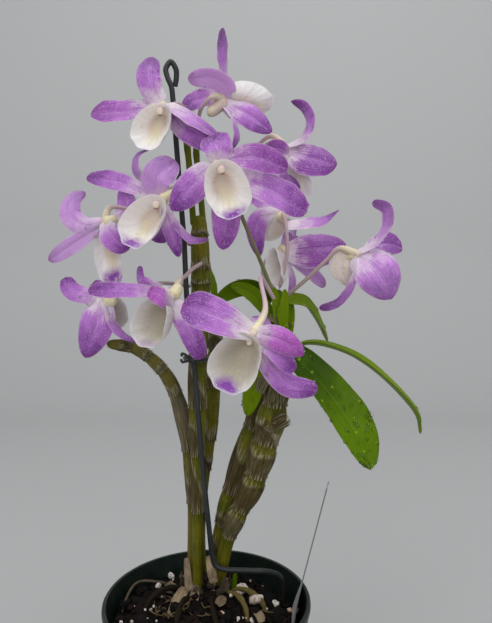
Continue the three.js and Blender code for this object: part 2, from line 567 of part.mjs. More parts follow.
/** A chip of bark, tipped a little, half sunk in the mix's top. */
function barkChip(random, x, y) {
  const chip = new THREE.BoxGeometry(3 + 4 * random(), 2 + 2.5 * random(), 2 + 1.5 * random());
  chip.rotateX(random() - 0.5);
  chip.rotateY(0.8 * (random() - 0.5));
  chip.rotateZ(2 * Math.PI * random());
  return solid(chip.translate(x, y, mixHeight(x, y) + 0.3));
}

/** The mix: it fills the pot, with chips of bark fused on top and pockets for what stands in it. */
function pottingMix() {
  const bottom = POT.floor + SEAT_GAP;
  const shoulder = POT.height - COLLAR.height - 1;
  const fillRadius = (z) => wallAt(z) - POT.wall - SEAT_GAP - 0.25;
  const ring = (radius, height) =>
    Array.from({ length: MIX.sides }, (_, j) => {
      const turn = (2 * Math.PI * j) / MIX.sides;
      const [x, y] = [radius * Math.cos(turn), radius * Math.sin(turn)];
      return new THREE.Vector3(x, y, height(x, y));
    });
  const wide = fillRadius(shoulder);
  const top = Array.from({ length: MIX.rings }, (_, i) => ring(wide * (1 - i / MIX.rings), mixHeight));
  const bulk = skin([
    ring(0.4, () => bottom),
    ring(fillRadius(bottom), () => bottom),
    ring(wide, () => shoulder - 1.5),
    ...top,
    ring(0.4, mixHeight),
  ]);
  const random = seeded(MIX.seed);
  const chips = Array.from({ length: MIX.chips }, (_, i) => {
    const out = 7 + 19 * Math.sqrt((i + 0.5) / MIX.chips);
    return barkChip(random, out * Math.cos(2.4 * i), out * Math.sin(2.4 * i));
  });
  const wire = rod(STAKE.slice(0, STAKE_FOOT_POINTS), WIRE.radius + SEAT_GAP, 4);
  const feet = Object.values(CANES).map((shape) => cane(shape, SEAT_GAP));
  return fuse([bulk, ...chips]).subtract(fuse([crown(SEAT_GAP), ...feet, label(SEAT_GAP), wire]));
}

// ---------- materials ----------

const plain = (color, roughness) => new THREE.MeshStandardMaterial({ color, roughness, metalness: 0 });
const materials = {
  pot: plain(0x10261c, 0.45),
  mix: plain(0x2a1c14, 0.95),
  root: plain(0x8f8350, 0.8),
  cane: plain(0x70743a, 0.6),
  leaf: plain(0x4f7f1c, 0.45),
  bloom: plain(0xb77fd0, 0.55),
  wire: plain(0x2c3030, 0.5),
  tie: plain(0x1a1d1c, 0.5),
  label: plain(0xd8d8d4, 0.5),
};

// ---------- assembly ----------

const plant = new THREE.Group();
const place = (name, made, material) => plant.add(mesh(name, made, material));

place("pot", pot(), materials.pot);
place("potting_mix", pottingMix(), materials.mix);
place("rhizome_and_roots", crown(), materials.root);
const spikes = SPIKES.map((path) => tube(path, () => SPIKE.radius, SPIKE.steps, SPIKE.sides));
const grown = {
  cane_tall: spikes,
  cane_slender: [blade(vec(TIP_LEAF.base), TIP_LEAF.shape, vec(TIP_LEAF.face), LEAF)],
};
for (const [name, shape] of Object.entries(CANES)) {
  const made = fuse([cane(shape), ...(grown[name] ?? [])]);
  place(name, made.subtract(crown(SEAT_GAP)), materials.cane);
}
for (const [name, [base, face, shape]] of Object.entries(LEAVES))
  place(name, blade(vec(base), shape, vec(face).normalize(), LEAF), materials.leaf);
for (const [name, shape] of Object.entries(BLOOMS)) place(name, bloom(shape), materials.bloom);
place("stake", rod(STAKE, WIRE.radius, WIRE.steps), materials.wire);
place("twist_tie", twistTie(), materials.tie);
place("plant_label", label(), materials.label);

export default plant;
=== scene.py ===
"""A small potted dendrobium orchid in flower, dressed over its CAD solids.

Shapes are worked out in millimetres, +Z up, +Y to the back, and stored in metres. Every new piece is a
closed surface on a grid of two parameters: along (from base to tip) and across (round, or side to side).
"""

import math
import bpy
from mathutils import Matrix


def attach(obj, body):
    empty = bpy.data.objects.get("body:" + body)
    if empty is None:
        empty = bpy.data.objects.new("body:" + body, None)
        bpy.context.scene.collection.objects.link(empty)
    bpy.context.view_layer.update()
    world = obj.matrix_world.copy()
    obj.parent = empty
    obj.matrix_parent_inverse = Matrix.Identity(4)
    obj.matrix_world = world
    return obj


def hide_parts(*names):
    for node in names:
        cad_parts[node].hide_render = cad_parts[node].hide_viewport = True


bl_info = {
    "name": "Potted Dendrobium Orchid",
    "version": (1, 0, 0),
    "blender": (4, 5, 0),
    "location": "3D View > Sidebar > Orchid",
    "description": "Builds a small potted dendrobium orchid in flower over its CAD solids",
    "category": "Add Mesh",
}

from collections import namedtuple
from types import SimpleNamespace as Sizes

import bmesh
import bpy
import numpy as np
from bpy.props import FloatProperty, FloatVectorProperty, IntProperty, PointerProperty

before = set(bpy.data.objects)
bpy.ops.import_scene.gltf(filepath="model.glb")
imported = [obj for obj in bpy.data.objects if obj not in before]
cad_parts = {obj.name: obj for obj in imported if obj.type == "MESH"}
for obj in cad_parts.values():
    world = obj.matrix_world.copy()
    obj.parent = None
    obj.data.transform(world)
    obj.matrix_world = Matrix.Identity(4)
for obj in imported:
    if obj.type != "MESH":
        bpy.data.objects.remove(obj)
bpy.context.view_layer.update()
MM = 0.001
PI = math.pi
TURN = 2 * PI
TINY = 1e-12
EAST, UP = (1, 0, 0), (0, 0, 1)

# ---------- sizes shared with the CAD solids, in millimetres ----------

POT = Sizes(rim=32.5, base=23.0, height=60.0, wall=1.3, floor=1.6)
COLLAR = Sizes(height=9.0, step=1.4)
DRAIN = Sizes(count=5, radius=3.0, circle=14.0, turn=0.3, below=-2.0, above=4.0)
MIX = Sizes(level=52.0, lumps=0.77, slope=-0.05, gap=0.4)
MOUND = Sizes(height=4.0, at=(1.0, 10.0), spread=12.6)
JOINT_RADIUS = 1.2
COLUMN = Sizes(radius=0.75, cap=(0.95, 0.85, 1.05), mouth=(0.6, 0.5, 0.42), mouth_drop=0.95)
STALK = Sizes(radius=0.62, ovary=1.3, ribs=0.05)
WIRE_RADIUS = 0.85

# Each form of blade: its thickness, how far its margins rise (cup), where it is widest (peak), the powers of its
# swell and taper (rise and fall), how wide its base is (claw), how its margins wave (ruffle) and how far its
# midrib sinks (keel). Widths and heights are shares of half the width.
Form = namedtuple("Form", "thick cup peak rise fall claw ruffle keel")
FORMS = {
    "petal": Form(0.4, 0.16, 0.63, 0.85, 0.5, 0.34, 0.09, 0.1),
    "sepal": Form(0.4, -0.18, 0.5, 0.7, 0.66, 0.4, 0.06, 0.1),
    "strap": Form(0.4, -0.2, 0.5, 0.6, 0.32, 0.5, 0.06, 0.08),
    "spoon": Form(0.4, 0.14, 0.72, 1.1, 0.42, 0.45, 0.08, 0.08),
    "claw": Form(0.4, 0.1, 0.25, 0.6, 1.3, 0.5, 0.04, 0.06),
    "leaf": Form(0.6, 0.26, 0.55, 0.6, 0.6, 0.55, 0.04, 0.1),
    "bract": Form(0.2, 0.5, 0.4, 0.7, 0.8, 0.6, 0.15, 0.0),
    "torn": Form(0.2, 0.5, 0.8, 0.6, 0.35, 0.35, 0.3, 0.0),
}
# Every blade: how much of its width it gets, the least that half of it has, and how wide its midrib is.
BLADE = Sizes(full=0.98, least=0.2, rib=0.15)
# Which way the blades face before they are rolled.
FACING = {"tepal": (0.0, -1.0, 0.25), "flap": (0.0, -1.0, 0.3), "leaf": (0.0, -0.8, 0.6)}
# The lip: its thickness, the blunt egg of its rim with its frill and waves, how its sides rise and its tip dips, the
# powers that shape its bowl, where its throat and the column's cap lie as (share of its length, depth), and its
# spot as shares of its length (size, distance from the tip).
LIP = Sizes(
    thick=0.34, blunt=0.8, egg=0.13, frill=0.022, wave=0.3, side_rise=1.2, tip_dip=0.8, spread=0.55, deep=1.8,
    throat=(0.24, 0.9), cap=(0.15, 0.7), spot=(0.22, 0.1),
)
CAMERA = Sizes(
    at=(12.2, -170.0, 152.0), pitch=0.7, focal=540.0, middle=(246.0, 311.5), lens=31.2, sensor=36.0, clip=0.01
)
# The sizes of the drops of water, and how many lie on a leaf.
DROPS = Sizes(bloom=(0.12, 0.42), leaf=(0.22, 0.75), broad_leaf=150, other_leaf=10)
SEEDS = Sizes(bloom=11, cane=41, leaf=71, crown=5, mix=19)

# Each bloom, by places (across, down, y) in the camera's frame: its joint, how it faces, its spur as (end, radius,
# tone), its lip as (top of rim, tip of rim, width), the strength of the lip's spot, its stalk's points in
# millimetres and tone, and its blades as (width, roll, form, tone, places). Roll turns a blade from facing front.
# From 0 to 1 a blade's tone adds stripes and magenta, and from 1 to 2 the colour of its tip; below 0 it is a lighter
# violet, as painted light that makes up for shade on blades facing down or away, and below -1 beige.
BLOOMS = {
    "bloom_01": {
        "at": (163, 105, -8), "face": (-0.35, -0.9, -0.25), "spur": (168, 115, -4, 1.9, -1), "spot": 0.05,
        "lip": ((162, 103, -12.5), (144, 148, -16), 11.6),
        "stalk": [(-7.6, 1.7, 209.6), (-6.5, -2, 212.5), (-9, -5, 213.2), (-11.4, -5, 212.5)], "stalk_tone": 0.3,
        "blades": [
            (7.2, 8, "strap", 0.2, [(162, 102, -8), (152, 88, -10), (149, 73, -10), (153, 57, -6)]),
            (8.8, -10, "petal", 1.4, [(161, 104, -7), (137, 111, -8), (114, 112, -10), (92, 112, -8)]),
            (8, 48, "sepal", 0.1, [(165, 103, -8), (192, 118, -12), (222, 139, -10)]),
            (8.5, -20, "sepal", 0, [(166, 107, -8), (190, 128, -11), (226, 150, -10)]),
            (6.5, 0, "sepal", 0, [(163, 107, -6), (155, 124, -1), (151, 139, 3)]),
        ],
    },
    "bloom_02": {
        "at": (224, 99, 2), "face": (0.6, 0.65, 0.3), "spur": (208, 115, -1, 2.5, -0.45), "spot": 0.3,
        "lip": ((229, 87, 2), (272, 106, 7), 8.4),
        "stalk": [(-3.05, 5.1, 208.8), (-2.8, 2.4, 211.4), (-1.3, -1.4, 213.8), (1.7, -3, 216)], "stalk_tone": 0.1,
        "blades": [
            (6.4, 58, "spoon", 0, [(223, 95, 2), (225, 73, 2), (223.5, 50, 1), (222, 28, 0)]),
            (6.8, -8, "petal", -0.95, [(227, 101, 2), (227, 89, 0), (212, 78, -4), (188, 79, -4)]),
            (5.6, 12, "petal", -0.2, [(222, 97, 2), (204, 98, 0), (183, 107, -2)]),
            (8.2, 0, "sepal", 0.1, [(224, 103, 1), (246, 113, 0), (272, 132, 1)]),
            (5.2, 70, "sepal", 0.3, [(225, 108, 1), (235, 122, -2), (238, 139, -2), (230, 152, -1)]),
        ],
    },
    "bloom_03": {
        "at": (287, 149, 8), "face": (0.55, 0.6, -0.3), "spur": (265, 143, 5, 1.7, -1), "spot": 0.1,
        "lip": ((289, 166, 9), (310, 196, 12), 6.2),
        "stalk": [(-2.9, 7.0, 196.5), (7, 10, 200), (15, 9.5, 204.2), (20.7, 8.5, 207.6)], "stalk_tone": 0.0,
        "blades": [
            (5.2, 38, "sepal", 0, [(287, 146, 8), (302, 138, 7), (309, 122, 6), (304, 108, 6), (291, 101, 6)]),
            (12.4, 6, "sepal", 1.9, [(287, 152, 8), (311, 158, 6), (337, 164, 7)]),
            (5.4, 20, "petal", 1.5, [(289, 157, 7), (280, 149, 4), (265, 148, 2)]),
            (6, 0, "sepal", 0.2, [(286, 156, 10), (288, 174, 11), (298, 192, 11)]),
            (6, 60, "petal", 0, [(289, 150, 9), (296, 158, 13), (300, 166, 16)]),
        ],
    },
    "bloom_04": {
        "at": (216, 163, -20), "face": (0.1, -0.95, -0.25), "spur": (220, 172, -15, 1.9, -1), "spot": 1.1,
        "lip": ((219, 160, -24), (235, 217, -27), 11.9),
        "stalk": [(21.3, 1.4, 154.5), (16, -4, 167), (11.3, -9, 177.5), (7.5, -14, 186)], "stalk_tone": 0.9,
        "blades": [
            (8.4, -6, "petal", 0.1, [(217, 163, -20), (218, 149, -22), (210, 136, -19)]),
            (7.2, -12, "petal", 1.4, [(219, 162, -20), (253, 157, -23), (288, 168, -20)]),
            (8.8, 10, "sepal", 0, [(213, 165, -19.5), (194, 184, -20.5), (171, 210, -18.5)]),
            (10, 8, "petal", 0.1, [(225, 172, -18), (268, 189, -20), (307, 212, -17)]),
            (8.2, 0, "sepal", 0.5, [(221, 175, -16), (226, 214, -16), (223, 250, -17)]),
        ],
    },
    "bloom_05": {
        "at": (160, 200, -12), "face": (-0.5, -0.8, -0.2), "spur": (176, 190, -14, 1.8, -1), "spot": 1.2,
        "lip": ((160, 196, -16.5), (127, 245, -19), 12.6),
        "stalk": [(-5.6, 2.3, 192), (-4.2, -3.5, 191.5), (-5, -7, 190), (-7.6, -9.4, 187.5)], "stalk_tone": 0.2,
        "blades": [
            (4.8, 66, "sepal", 0, [(159, 197, -11), (144, 182, -9), (134, 167, -9), (138, 154, -9), (150, 149, -8)]),
            (5.8, -8, "petal", 0.3, [(158, 198, -12), (122, 183, -14), (87, 177, -13)]),
            (8.8, 5, "petal", -0.5, [(161, 200, -12), (157, 180, -15), (175, 160, -13)]),
            (7, 10, "strap", 0.3, [(163, 204, -9), (162, 224, -7), (158, 243, -6)]),
            (4.6, 0, "sepal", 0.1, [(163, 204, -13), (171, 229, -14), (179, 257, -13)]),
            (5.2, 55, "sepal", 0.2, [(165, 206, -11), (179, 226, -12), (191, 238, -12), (209, 239, -11)]),
        ],
    },
    "bloom_06": {
        "at": (105, 222, -2), "face": (-0.3, -0.9, -0.2), "spur": (117, 218, -3, 2.1, -1), "spot": 0.9,
        "lip": ((104, 224, -3), (114, 287, -4), 9.2),
        "stalk": [(-5.4, 5.5, 171), (-14, 3, 178), (-24, 2, 182), (-30.5, -0.5, 182.4)], "stalk_tone": 0.05,
        "blades": [
            (6.6, 18, "sepal", -0.5, [(104, 222, -2), (85, 226, -4), (70, 214, -4), (73, 200, -3), (86, 192, -2)]),
            (5, 30, "petal", -0.7, [(103, 225, -2), (78, 241, -5), (49, 261, -6)]),
            (7.4, -10, "petal", 0.2, [(105, 222, -3), (112, 236, -7), (129, 250, -7)]),
            (6.2, 0, "sepal", 0.3, [(116, 222, 1), (127, 205, 5), (122, 187, 6)]),
            (6, 0, "sepal", 0, [(108, 224, 0), (112, 238, 5), (108, 246, 9)]),
        ],
    },
    "bloom_07": {
        "at": (105, 299, -4), "face": (-0.1, 0.75, -0.5), "spur": (117, 302, -4, 2.2, -1), "spot": 0.1,
        "lip": ((112, 298, -2), (121, 326, 4), 7.4),
        "stalk": [(-5.5, 6, 158), (-14, 4, 159), (-22, 1, 158), (-27.5, -2, 156)], "stalk_tone": 0.3,
        "blades": [
            (5.6, -10, "strap", 0.2, [(104, 299, -4), (86, 295, -6), (71, 289, -6), (66, 277, -5)]),
            (10.2, 12, "sepal", -0.15, [(103, 299, -5), (97, 323, -7), (85, 358, -5)]),
            (4.6, 62, "sepal", 0.1, [(107, 302, -4), (112, 321, -6), (123, 334, -6), (137, 342, -6)]),
            (6.4, 10, "petal", 0, [(104, 298, -3), (98, 290, 3), (90, 287, 8)]),
            (5.8, 0, "petal", 0, [(107, 300, -2), (114, 310, 4), (116, 318, 8)]),
        ],
    },
    "bloom_08": {
        "at": (172, 297, -16), "face": (-0.5, -0.8, -0.3), "spur": (180, 284, -14, 2.1, -1), "spot": 0.5,
        "lip": ((158, 298, -19.5), (143, 347, -21), 11.6),
        "stalk": [(-1.8, 2.8, 165.5), (-4.8, -4.5, 162.5), (-5.8, -9, 160.6), (-6.9, -13, 159.2)], "stalk_tone": 0.15,
        "blades": [
            (4.8, -14, "spoon", 0.3, [(169, 293, -16), (132, 291, -19), (88, 290, -18)]),
            (3.6, 35, "strap", 0.5, [(168, 292, -15), (152, 286, -15), (141, 281, -14), (139, 266, -13)]),
            (5.6, 10, "strap", 1.0, [(173, 300, -17), (163, 297, -22), (149, 289, -23)]),
            (6.4, 10, "strap", 0.1, [(173, 300, -16), (188, 326, -18), (202, 359, -17)]),
            (7, 0, "sepal", 0, [(170, 301, -14), (160, 312, -9), (156, 322, -6)]),
        ],
    },
    "bloom_09": {
        "at": (253, 334, -28), "face": (-0.45, -0.85, -0.3), "spur": (260, 323, -25, 2.0, -1), "spot": 1.2,
        "lip": ((250, 334, -31), (222, 391, -33), 13.4),
        "stalk": [(21.6, 0.7, 153), (17, -7.5, 160), (16.5, -15, 158.5), (17.5, -21.5, 150.5)], "stalk_tone": 0.0,
        "blades": [
            (10, -6, "spoon", 0.1, [(253, 333, -28), (222, 319, -31), (183, 303, -29)]),
            (6.4, -14, "sepal", 1.0, [(254, 333, -28), (278, 339, -32), (304, 355, -31)]),
            (5, 10, "petal", 0.2, [(257, 340, -28), (277, 354, -30), (295, 371, -29)]),
            (6.2, 6, "strap", 0.1, [(256, 339, -27), (270, 364, -28), (289, 385, -28), (318, 389, -27)]),
            (6, 0, "sepal", 0, [(255, 331, -26), (262, 322, -21), (266, 317, -18)]),
        ],
    },
    "bloom_10": {
        "at": (284, 217, 2), "face": (-0.2, 0.85, -0.4), "spur": (277, 214, 1, 2.0, -1), "spot": 0.2,
        "lip": ((274, 210, 4), (268, 240, 8), 8.4),
        "stalk": [(22.8, 1.4, 157), (25, -1.2, 168), (24.8, -1.6, 175), (24, 0, 180.5)], "stalk_tone": 0.1,
        "blades": [
            (6.4, 20, "sepal", 0.1, [(282, 212, 2), (258, 222, 1), (259, 257, 2)]),
            (6.6, 36, "claw", 0, [(286, 226, 1), (308, 224, 0), (323, 221, 0), (339, 210, 0)]),
            (6.4, 0, "petal", 0, [(283, 213, 3), (262, 200, 6), (246, 190, 8)]),
            (6, 0, "petal", 0, [(286, 213, 4), (298, 204, 8), (304, 200, 12)]),
            (6, 20, "sepal", 0, [(286, 220, 5), (292, 226, 9), (296, 228, 14)]),
        ],
    },
    "bloom_11": {
        "at": (280, 251, 6), "face": (-0.5, -0.6, -0.5), "spur": (285, 246, 7, 1.9, -1), "spot": 0.0,
        "lip": ((272, 248, 3), (278, 286, 1), 6.6),
        "stalk": [(21.6, 2.5, 156.6), (17.6, 4.2, 162.5), (18.6, 5.2, 166), (21, 6.4, 168.6)], "stalk_tone": 0.2,
        "blades": [
            (12.2, 6, "sepal", 1.6, [(285, 251, 6), (314, 249, 4), (346, 244, 6)]),
            (4.4, 50, "sepal", 0.2, [(286, 258, 6), (293, 277, 6), (292, 296, 7), (285, 311, 8)]),
            (5.2, 10, "petal", -0.6, [(286, 258, 8), (305, 268, 10), (325, 287, 10)]),
            (6, 0, "petal", 0, [(283, 248, 8), (290, 241, 12), (291, 233, 16)]),
            (4, 30, "sepal", 0.1, [(282, 258, 7), (272, 280, 8), (250, 297, 7)]),
        ],
    },
    "bloom_12": {
        "at": (357, 254, -6), "face": (0.75, 0.35, -0.45), "spur": (345, 257, -3.4, 1.5, -0.9), "spot": 0.1,
        "lip": ((364, 264, -4), (380, 296, 2), 8),
        "stalk": [(24.0, 1.4, 154), (31, -2, 160), (36.8, -4, 165.6), (40.6, -5, 169.2)], "stalk_tone": 0.35,
        "blades": [
            (4.2, 36, "spoon", -0.3, [(357, 253, -6), (376, 243, -8), (388, 224, -8), (386, 208, -8), (372, 202, -7)]),
            (7.6, 4, "petal", 1.9, [(366, 250, -4), (385, 244, -1), (402, 247, 0)]),
            (13.6, -6, "sepal", -0.3, [(357, 254, -6), (377, 271, -10), (392, 299, -9)]),
            (3.6, 44, "spoon", 0.1, [(357, 256, -6), (354, 275, -8), (347, 292, -8), (336, 303, -8), (319, 308, -8)]),
            (9, 0, "claw", -2, [(354, 255, -5), (342, 266, -4.5), (349, 288, -4)]),
        ],
    },
}

# Blooms whose lips get painted shade: greyer, for the shade of the petals above them.
SHADED_BLOOMS = ("bloom_07", "bloom_08", "bloom_09")  # their lips are greyer
OPEN_BLOOMS = ("bloom_01", "bloom_04", "bloom_05")  # their column's cap shows in the lip

# Each cane: a path of (x, y, z, diameter), its joints as shares of its length, how dry its skin is, how far it
# swells between joints, and for each span its sheath: how far up it reaches, how much less it does at its left
# side, and how pale it is.
CANES = {
    "cane_bent": {
        "path": [
            (-6.6, 15, 55, 2.8), (-6.2, 15, 81, 3.3), (-7.4, 14, 101, 4), (-9.2, 12, 114, 4.6),
            (-12.7, 9, 126, 4.1), (-17, 5, 133, 3.8), (-23, 2, 138, 3.5), (-31.5, -1, 140, 2.6),
        ],
        "nodes": (0.17, 0.31, 0.53, 0.67, 0.78, 0.89), "dry": 0.75, "swell": 0.16,
        "sheaths": [(0, 0.2, 0.5), (0.5, 0.1, 0.85), (1.1, 0.1, 1), (0.3, 0.2, 1), (0.4, 0.3, 0.95), (0.35, 0.4, 0.8),
                    (0.6, 0.2, 0.7)],
    },
    "cane_tall": {
        "path": [
            (-4.1, 10, 55, 3.2), (-4.1, 9.5, 80, 3.4), (-4, 8.5, 104, 4.7), (-3.9, 8, 120, 6),
            (-3.6, 7.5, 133, 6), (-2.8, 6.5, 147, 6.1), (-2.5, 6, 160, 6.3), (-2.7, 5, 172, 5.9), (-3, 5, 181, 4.2),
        ],
        "nodes": (0.145, 0.245, 0.365, 0.51, 0.63, 0.74, 0.79, 0.91), "dry": 0.05, "swell": 0.06,
        "sheaths": [(0, 0.3, 0.5), (1.1, 0.9, 0.6), (0.7, 0.8, 0.62), (1.1, 0.9, 0.7), (0.4, 0.8, 0.3),
                    (0.25, 0.6, 0.1), (0.24, 0.6, 0.15), (0.2, 0.6, 0.3), (0.3, 0.8, 0.2)],
    },
    "cane_slender": {
        "path": [
            (-3.4, 20, 54, 3), (-3.8, 20.5, 69, 3), (-3.4, 20.5, 83, 3.3), (-1.9, 20.5, 97, 4.2),
            (-0.2, 20, 111, 5.2), (0.6, 20, 125, 5.8), (1.6, 19.5, 138, 5.2), (0.9, 19, 153, 3.2),
        ],
        "nodes": (0.22, 0.4, 0.51, 0.7, 0.85), "dry": 0.1, "swell": 0.08,
        "sheaths": [(0, 0.3, 0.5), (0.6, 0.5, 0.3), (0.8, 0.6, 0.3), (0.3, 0.4, 0.3), (0.5, 0.6, 0.3),
                    (0.4, 0.5, 0.3)],
    },
    "cane_stout": {
        "path": [
            (1, 17, 55, 3), (2.1, 17, 66, 3.8), (4.9, 16.5, 79, 5.8), (9.2, 15.5, 93, 7),
            (13.6, 14.5, 105.5, 7.6), (17, 13.5, 117, 6.8), (19, 12.5, 125, 4.4),
        ],
        "nodes": (0.15, 0.3, 0.445, 0.74), "dry": 0.1, "swell": 0.18,
        "sheaths": [(0.2, 0.3, 0.5), (0.5, 0.3, 0.6), (0.3, 0.5, 0.6), (0.72, 0.2, 0.45), (1.0, 0.3, 0.5)],
    },
    "cane_leafy": {
        "path": [
            (3.3, 12, 57, 3.2), (5.2, 11, 70, 4.2), (9.2, 9.5, 82, 6), (14.2, 8, 92.5, 7.2), (17.7, 6, 104.5, 8),
            (20.6, 4, 116, 8.6), (22.1, 2.5, 126, 7.2), (22.9, 1.5, 134, 4.4), (23.9, 1, 141, 4.6),
            (23.3, 1.5, 149, 4.2), (22.4, 2, 157, 2.6),
        ],
        "nodes": (0.14, 0.225, 0.335, 0.43, 0.545, 0.66), "dry": 0.1, "swell": 0.2,
        "sheaths": [(0.5, 0.2, 0.6), (0.85, 0.2, 0.8), (0.95, 0.2, 0.35), (0.86, 0.3, 0.7), (0.62, 0.9, 0.55),
                    (0.8, 0.3, 0.6)],
    },
}
# What all canes share: how slim they are, the pinch above a joint, the ridge under it as (height, share of the
# span) and the ribs along them.
CANE = Sizes(slim=0.95, pinch=0.12, ridge=(0.16, 0.05), ribs=(0.07, 0.05))
# A sheath: how far its foot flares as (height, share of the span), its slack as a share of the cane and in its
# middle, its creases, its thickness and how raggedly it ends.
SHEATH = Sizes(flare=(0.42, 0.06), slack=0.03, belly=0.12, creases=(0.1, 0.08, 0.05), thick=0.12, ragged=0.1)
SPIKES = [
    [(-4.6, 4, 177), (-5.4, 3.2, 188), (-6, 3.2, 197), (-6.8, 3, 204), (-7.6, 2.6, 208.4)],
    [(-1.6, 6, 177), (-2.6, 6.4, 188), (-3.6, 6.4, 197), (-4, 6.2, 203), (-3.1, 5.2, 209)],
]
SPIKE_RADIUS = 1.0
# The leaf at the slender cane's tip: its base, its shape as (middle, tip, width) from there, and how it faces.
TIP_LEAF = ((0.9, 19, 152.4), (-0.5, 0.5, 6, -2.3, 2, 13.5, 3.6), (0.8, -0.6, 0))

# Each leaf: its width, roll and tone (how yellow and light it is: its own colour, and on leaf_under painted light
# for light shining through it), and its places in the camera's frame from its base.
LEAVES = {
    "leaf_broad": (13.2, 12, 0.1, [(290, 352, -1), (313, 374, -5), (339, 405, -10), (358, 436, -15), (371, 470, -19)]),
    "leaf_arching": (6.8, 52, 1.0, [(291, 348, 1), (310, 343, 0), (347, 352, -2), (377, 371, -4), (405, 398, -6),
                                  (418, 416, -7), (421, 434, -7)]),
    "leaf_back_right": (7.8, 16, 0.9, [(286, 300, 2), (304, 303, 4), (317, 319, 7), (328, 342, 9)]),
    "leaf_back_left": (5.8, 68, 0.3, [(272, 300, 3), (257, 288, 6), (238, 288, 8), (214, 302, 10)]),
    "leaf_under": (6.8, 10, 0.9, [(271, 345, 3), (259, 370, 4), (247, 416, 5)]),
    "leaf_short": (5.6, 20, 0.5, [(280, 352, -2), (276, 340, -4), (268, 328, -4)]),
    "leaf_small_left": (4.6, 30, 0.6, [(274, 320, 2), (264, 306, 3), (250, 292, 4), (231, 285, 5)]),
}

CROWN = [(-6.6, 15, 52.5, 3.4), (-4.1, 10, 53, 3.6), (3.3, 12, 54, 3.6), (1, 17, 52, 3.6), (-3.4, 20, 51.5, 3.4)]
ROOTS = [
    [(4, 11, 54), (9, 6, 57), (12, 1, 55.5), (13, -3, 49)],
    [(5, 13, 54), (12, 10, 56.5), (17, 7, 54.5), (20, 5, 48)],
    [(-7, 14, 54), (-14, 10, 57), (-19, 5, 56), (-22, 0, 49)],
    [(-5, 9, 54), (-8, 2, 57), (-9, -6, 55), (-9, -11, 48)],
    [(1, 9, 54), (1, 2, 57), (3, -6, 55), (6, -12, 48)],
]
NEW_SHOOT = [(3.3, 12, 54), (7.4, 12.3, 54.5), (8.3, 12, 58.5), (8.7, 11.8, 63)]

STAKE = [
    (24.6, 9.5, 45), (24.6, 9.5, 56), (23.6, 9.2, 61.2), (20.5, 8.4, 63.2), (12, 6.6, 64.6), (5, 5.8, 65.4),
    (2.2, 5.6, 66.8), (1.2, 5.4, 70), (0.2, 4.8, 79), (-1.7, 3.7, 98.5), (-3.2, 2.7, 118), (-4.4, 2.1, 133.4),
    (-6.5, 1.2, 153.3), (-7.4, 1, 172.3), (-8.6, 0.5, 188), (-10.3, 0, 211), (-10.7, -0.1, 216.5),
    (-11.2, -0.1, 220.4), (-12.4, 0, 223.3), (-12.9, 0.1, 226), (-11.4, 0.5, 228.3), (-9.9, 0.9, 226.3),
    (-9.8, 1.3, 223.6), (-10.3, 1.6, 221),
]
# The tie: its height, the cane and the wire in it as (x, y, radius), how far it stands off them, half its thickness
# and half its height, and its two ends from where they leave the wire.
TIE = Sizes(height=134.4, cane=(-3.6, 7.5, 3.75), wire=(-4.4, 2.1, 0.85), clear=0.75, half=(0.42, 0.62), sway=0.25)
TIE_ENDS = [
    [(0.8, -0.4, 0), (0, -0.6, 0.8), (-1, -1, 1.9), (-2, -1.1, 2.2), (-2.1, -1, 1.2)],
    [(0.8, -0.4, 0), (-0.9, -0.9, -0.3), (-1.9, -0.8, -0.5), (-2.5, -0.8, 0.5)],
]
# The label: it leans and is turned by degrees, and twists by a rate up to a share of its length, over a span.
LABEL = Sizes(
    width=13.0, thick=0.44, length=54.0, foot=(24.6, 1.6, 42.0), lean=14.6, turn=-13.4, twist=50.0, untwisted=0.36,
    twist_span=0.25,
)

# What lies on the mix: how far out the chips and the grit reach, how many grains of grit and strands of moss there
# are, and the clump that most of the moss is in. Each flake of husk is (x, y, length, heading).
LITTER = Sizes(chips=28.5, grit=27.0, grains=60, strands=46, clumped=26, clump=(-10.5, 2.5), clump_size=2.6, moss=19)
FLAKES = [(-14, 10.5, 5, 1.3), (-13, 12, 3.5, 2.2), (3, 2, 3, 0.4), (-6, 22, 3, 0.6), (17, -4, 4, 2.0)]
DRY_ROOT = [(-27.9, 2, 52), (-26.97, 6, 56), (-24.645, 14, 57), (-18.6, 17, 55.5), (-12.09, 17, 54)]

# Perlite on the mix: its place in the camera's frame, its size and how stained it is.
PERLITE = [
    (171, 573, 1.5, 0.0), (181, 577, 0.8, 0.8), (158, 586, 1.4, 0.1), (179, 592, 0.9, 0.7), (241, 592, 2.1, 0.2),
    (251, 593, 1.0, 0.9), (256, 602, 2.2, 0.4), (276, 605, 1.5, 0.0), (269, 597, 0.7, 0.2), (290, 610, 0.9, 0.9),
    (297, 609, 0.8, 0.6), (252, 618, 0.9, 0.2), (222, 612, 0.8, 1.0), (272, 601, 0.9, 0.1), (131, 620, 0.7, 0.1),
]
# Torn flaps on the leafy cane, husks at the canes' feet and the leaves' sheathing bases, as (width, tone, places).
FLAPS = [
    (3.6, 0.9, [(272, 372, -0.9), (264, 381, -1.6), (259, 393, 0)]),
    (2.4, 0.8, [(273, 376, -0.9), (273, 389, -1.9), (270, 402, -1.6)]),
    (2.8, 0.7, [(279, 378, -0.9), (281, 390, -2.2), (280, 403, -1.6)]),
    (4.6, 0.7, [(263, 432, 0.4), (276, 424, -0.9), (289, 417, 0.5)]),
    (3.6, 0.9, [(265, 424, 0.3), (272, 428, -0.9), (280, 427, -0.8)]),
    (2.6, 1.0, [(290, 328, 0.3), (280, 322, -1.4), (268, 316, -1)]),
]
FOOT_HUSKS = [
    (2.6, 1.0, [(208, 556, 9), (211, 569, 7), (214, 583, 7)]),
    (2.4, 0.8, [(186, 558, 11), (188, 579, 10), (190, 600, 8)]),
    (4.2, 1.0, [(184, 588, 9), (177, 603, 4), (171, 622, -2)]),
    (3.0, 0.6, [(196, 585, 8), (194, 597, 6), (190, 610, 3)]),
]
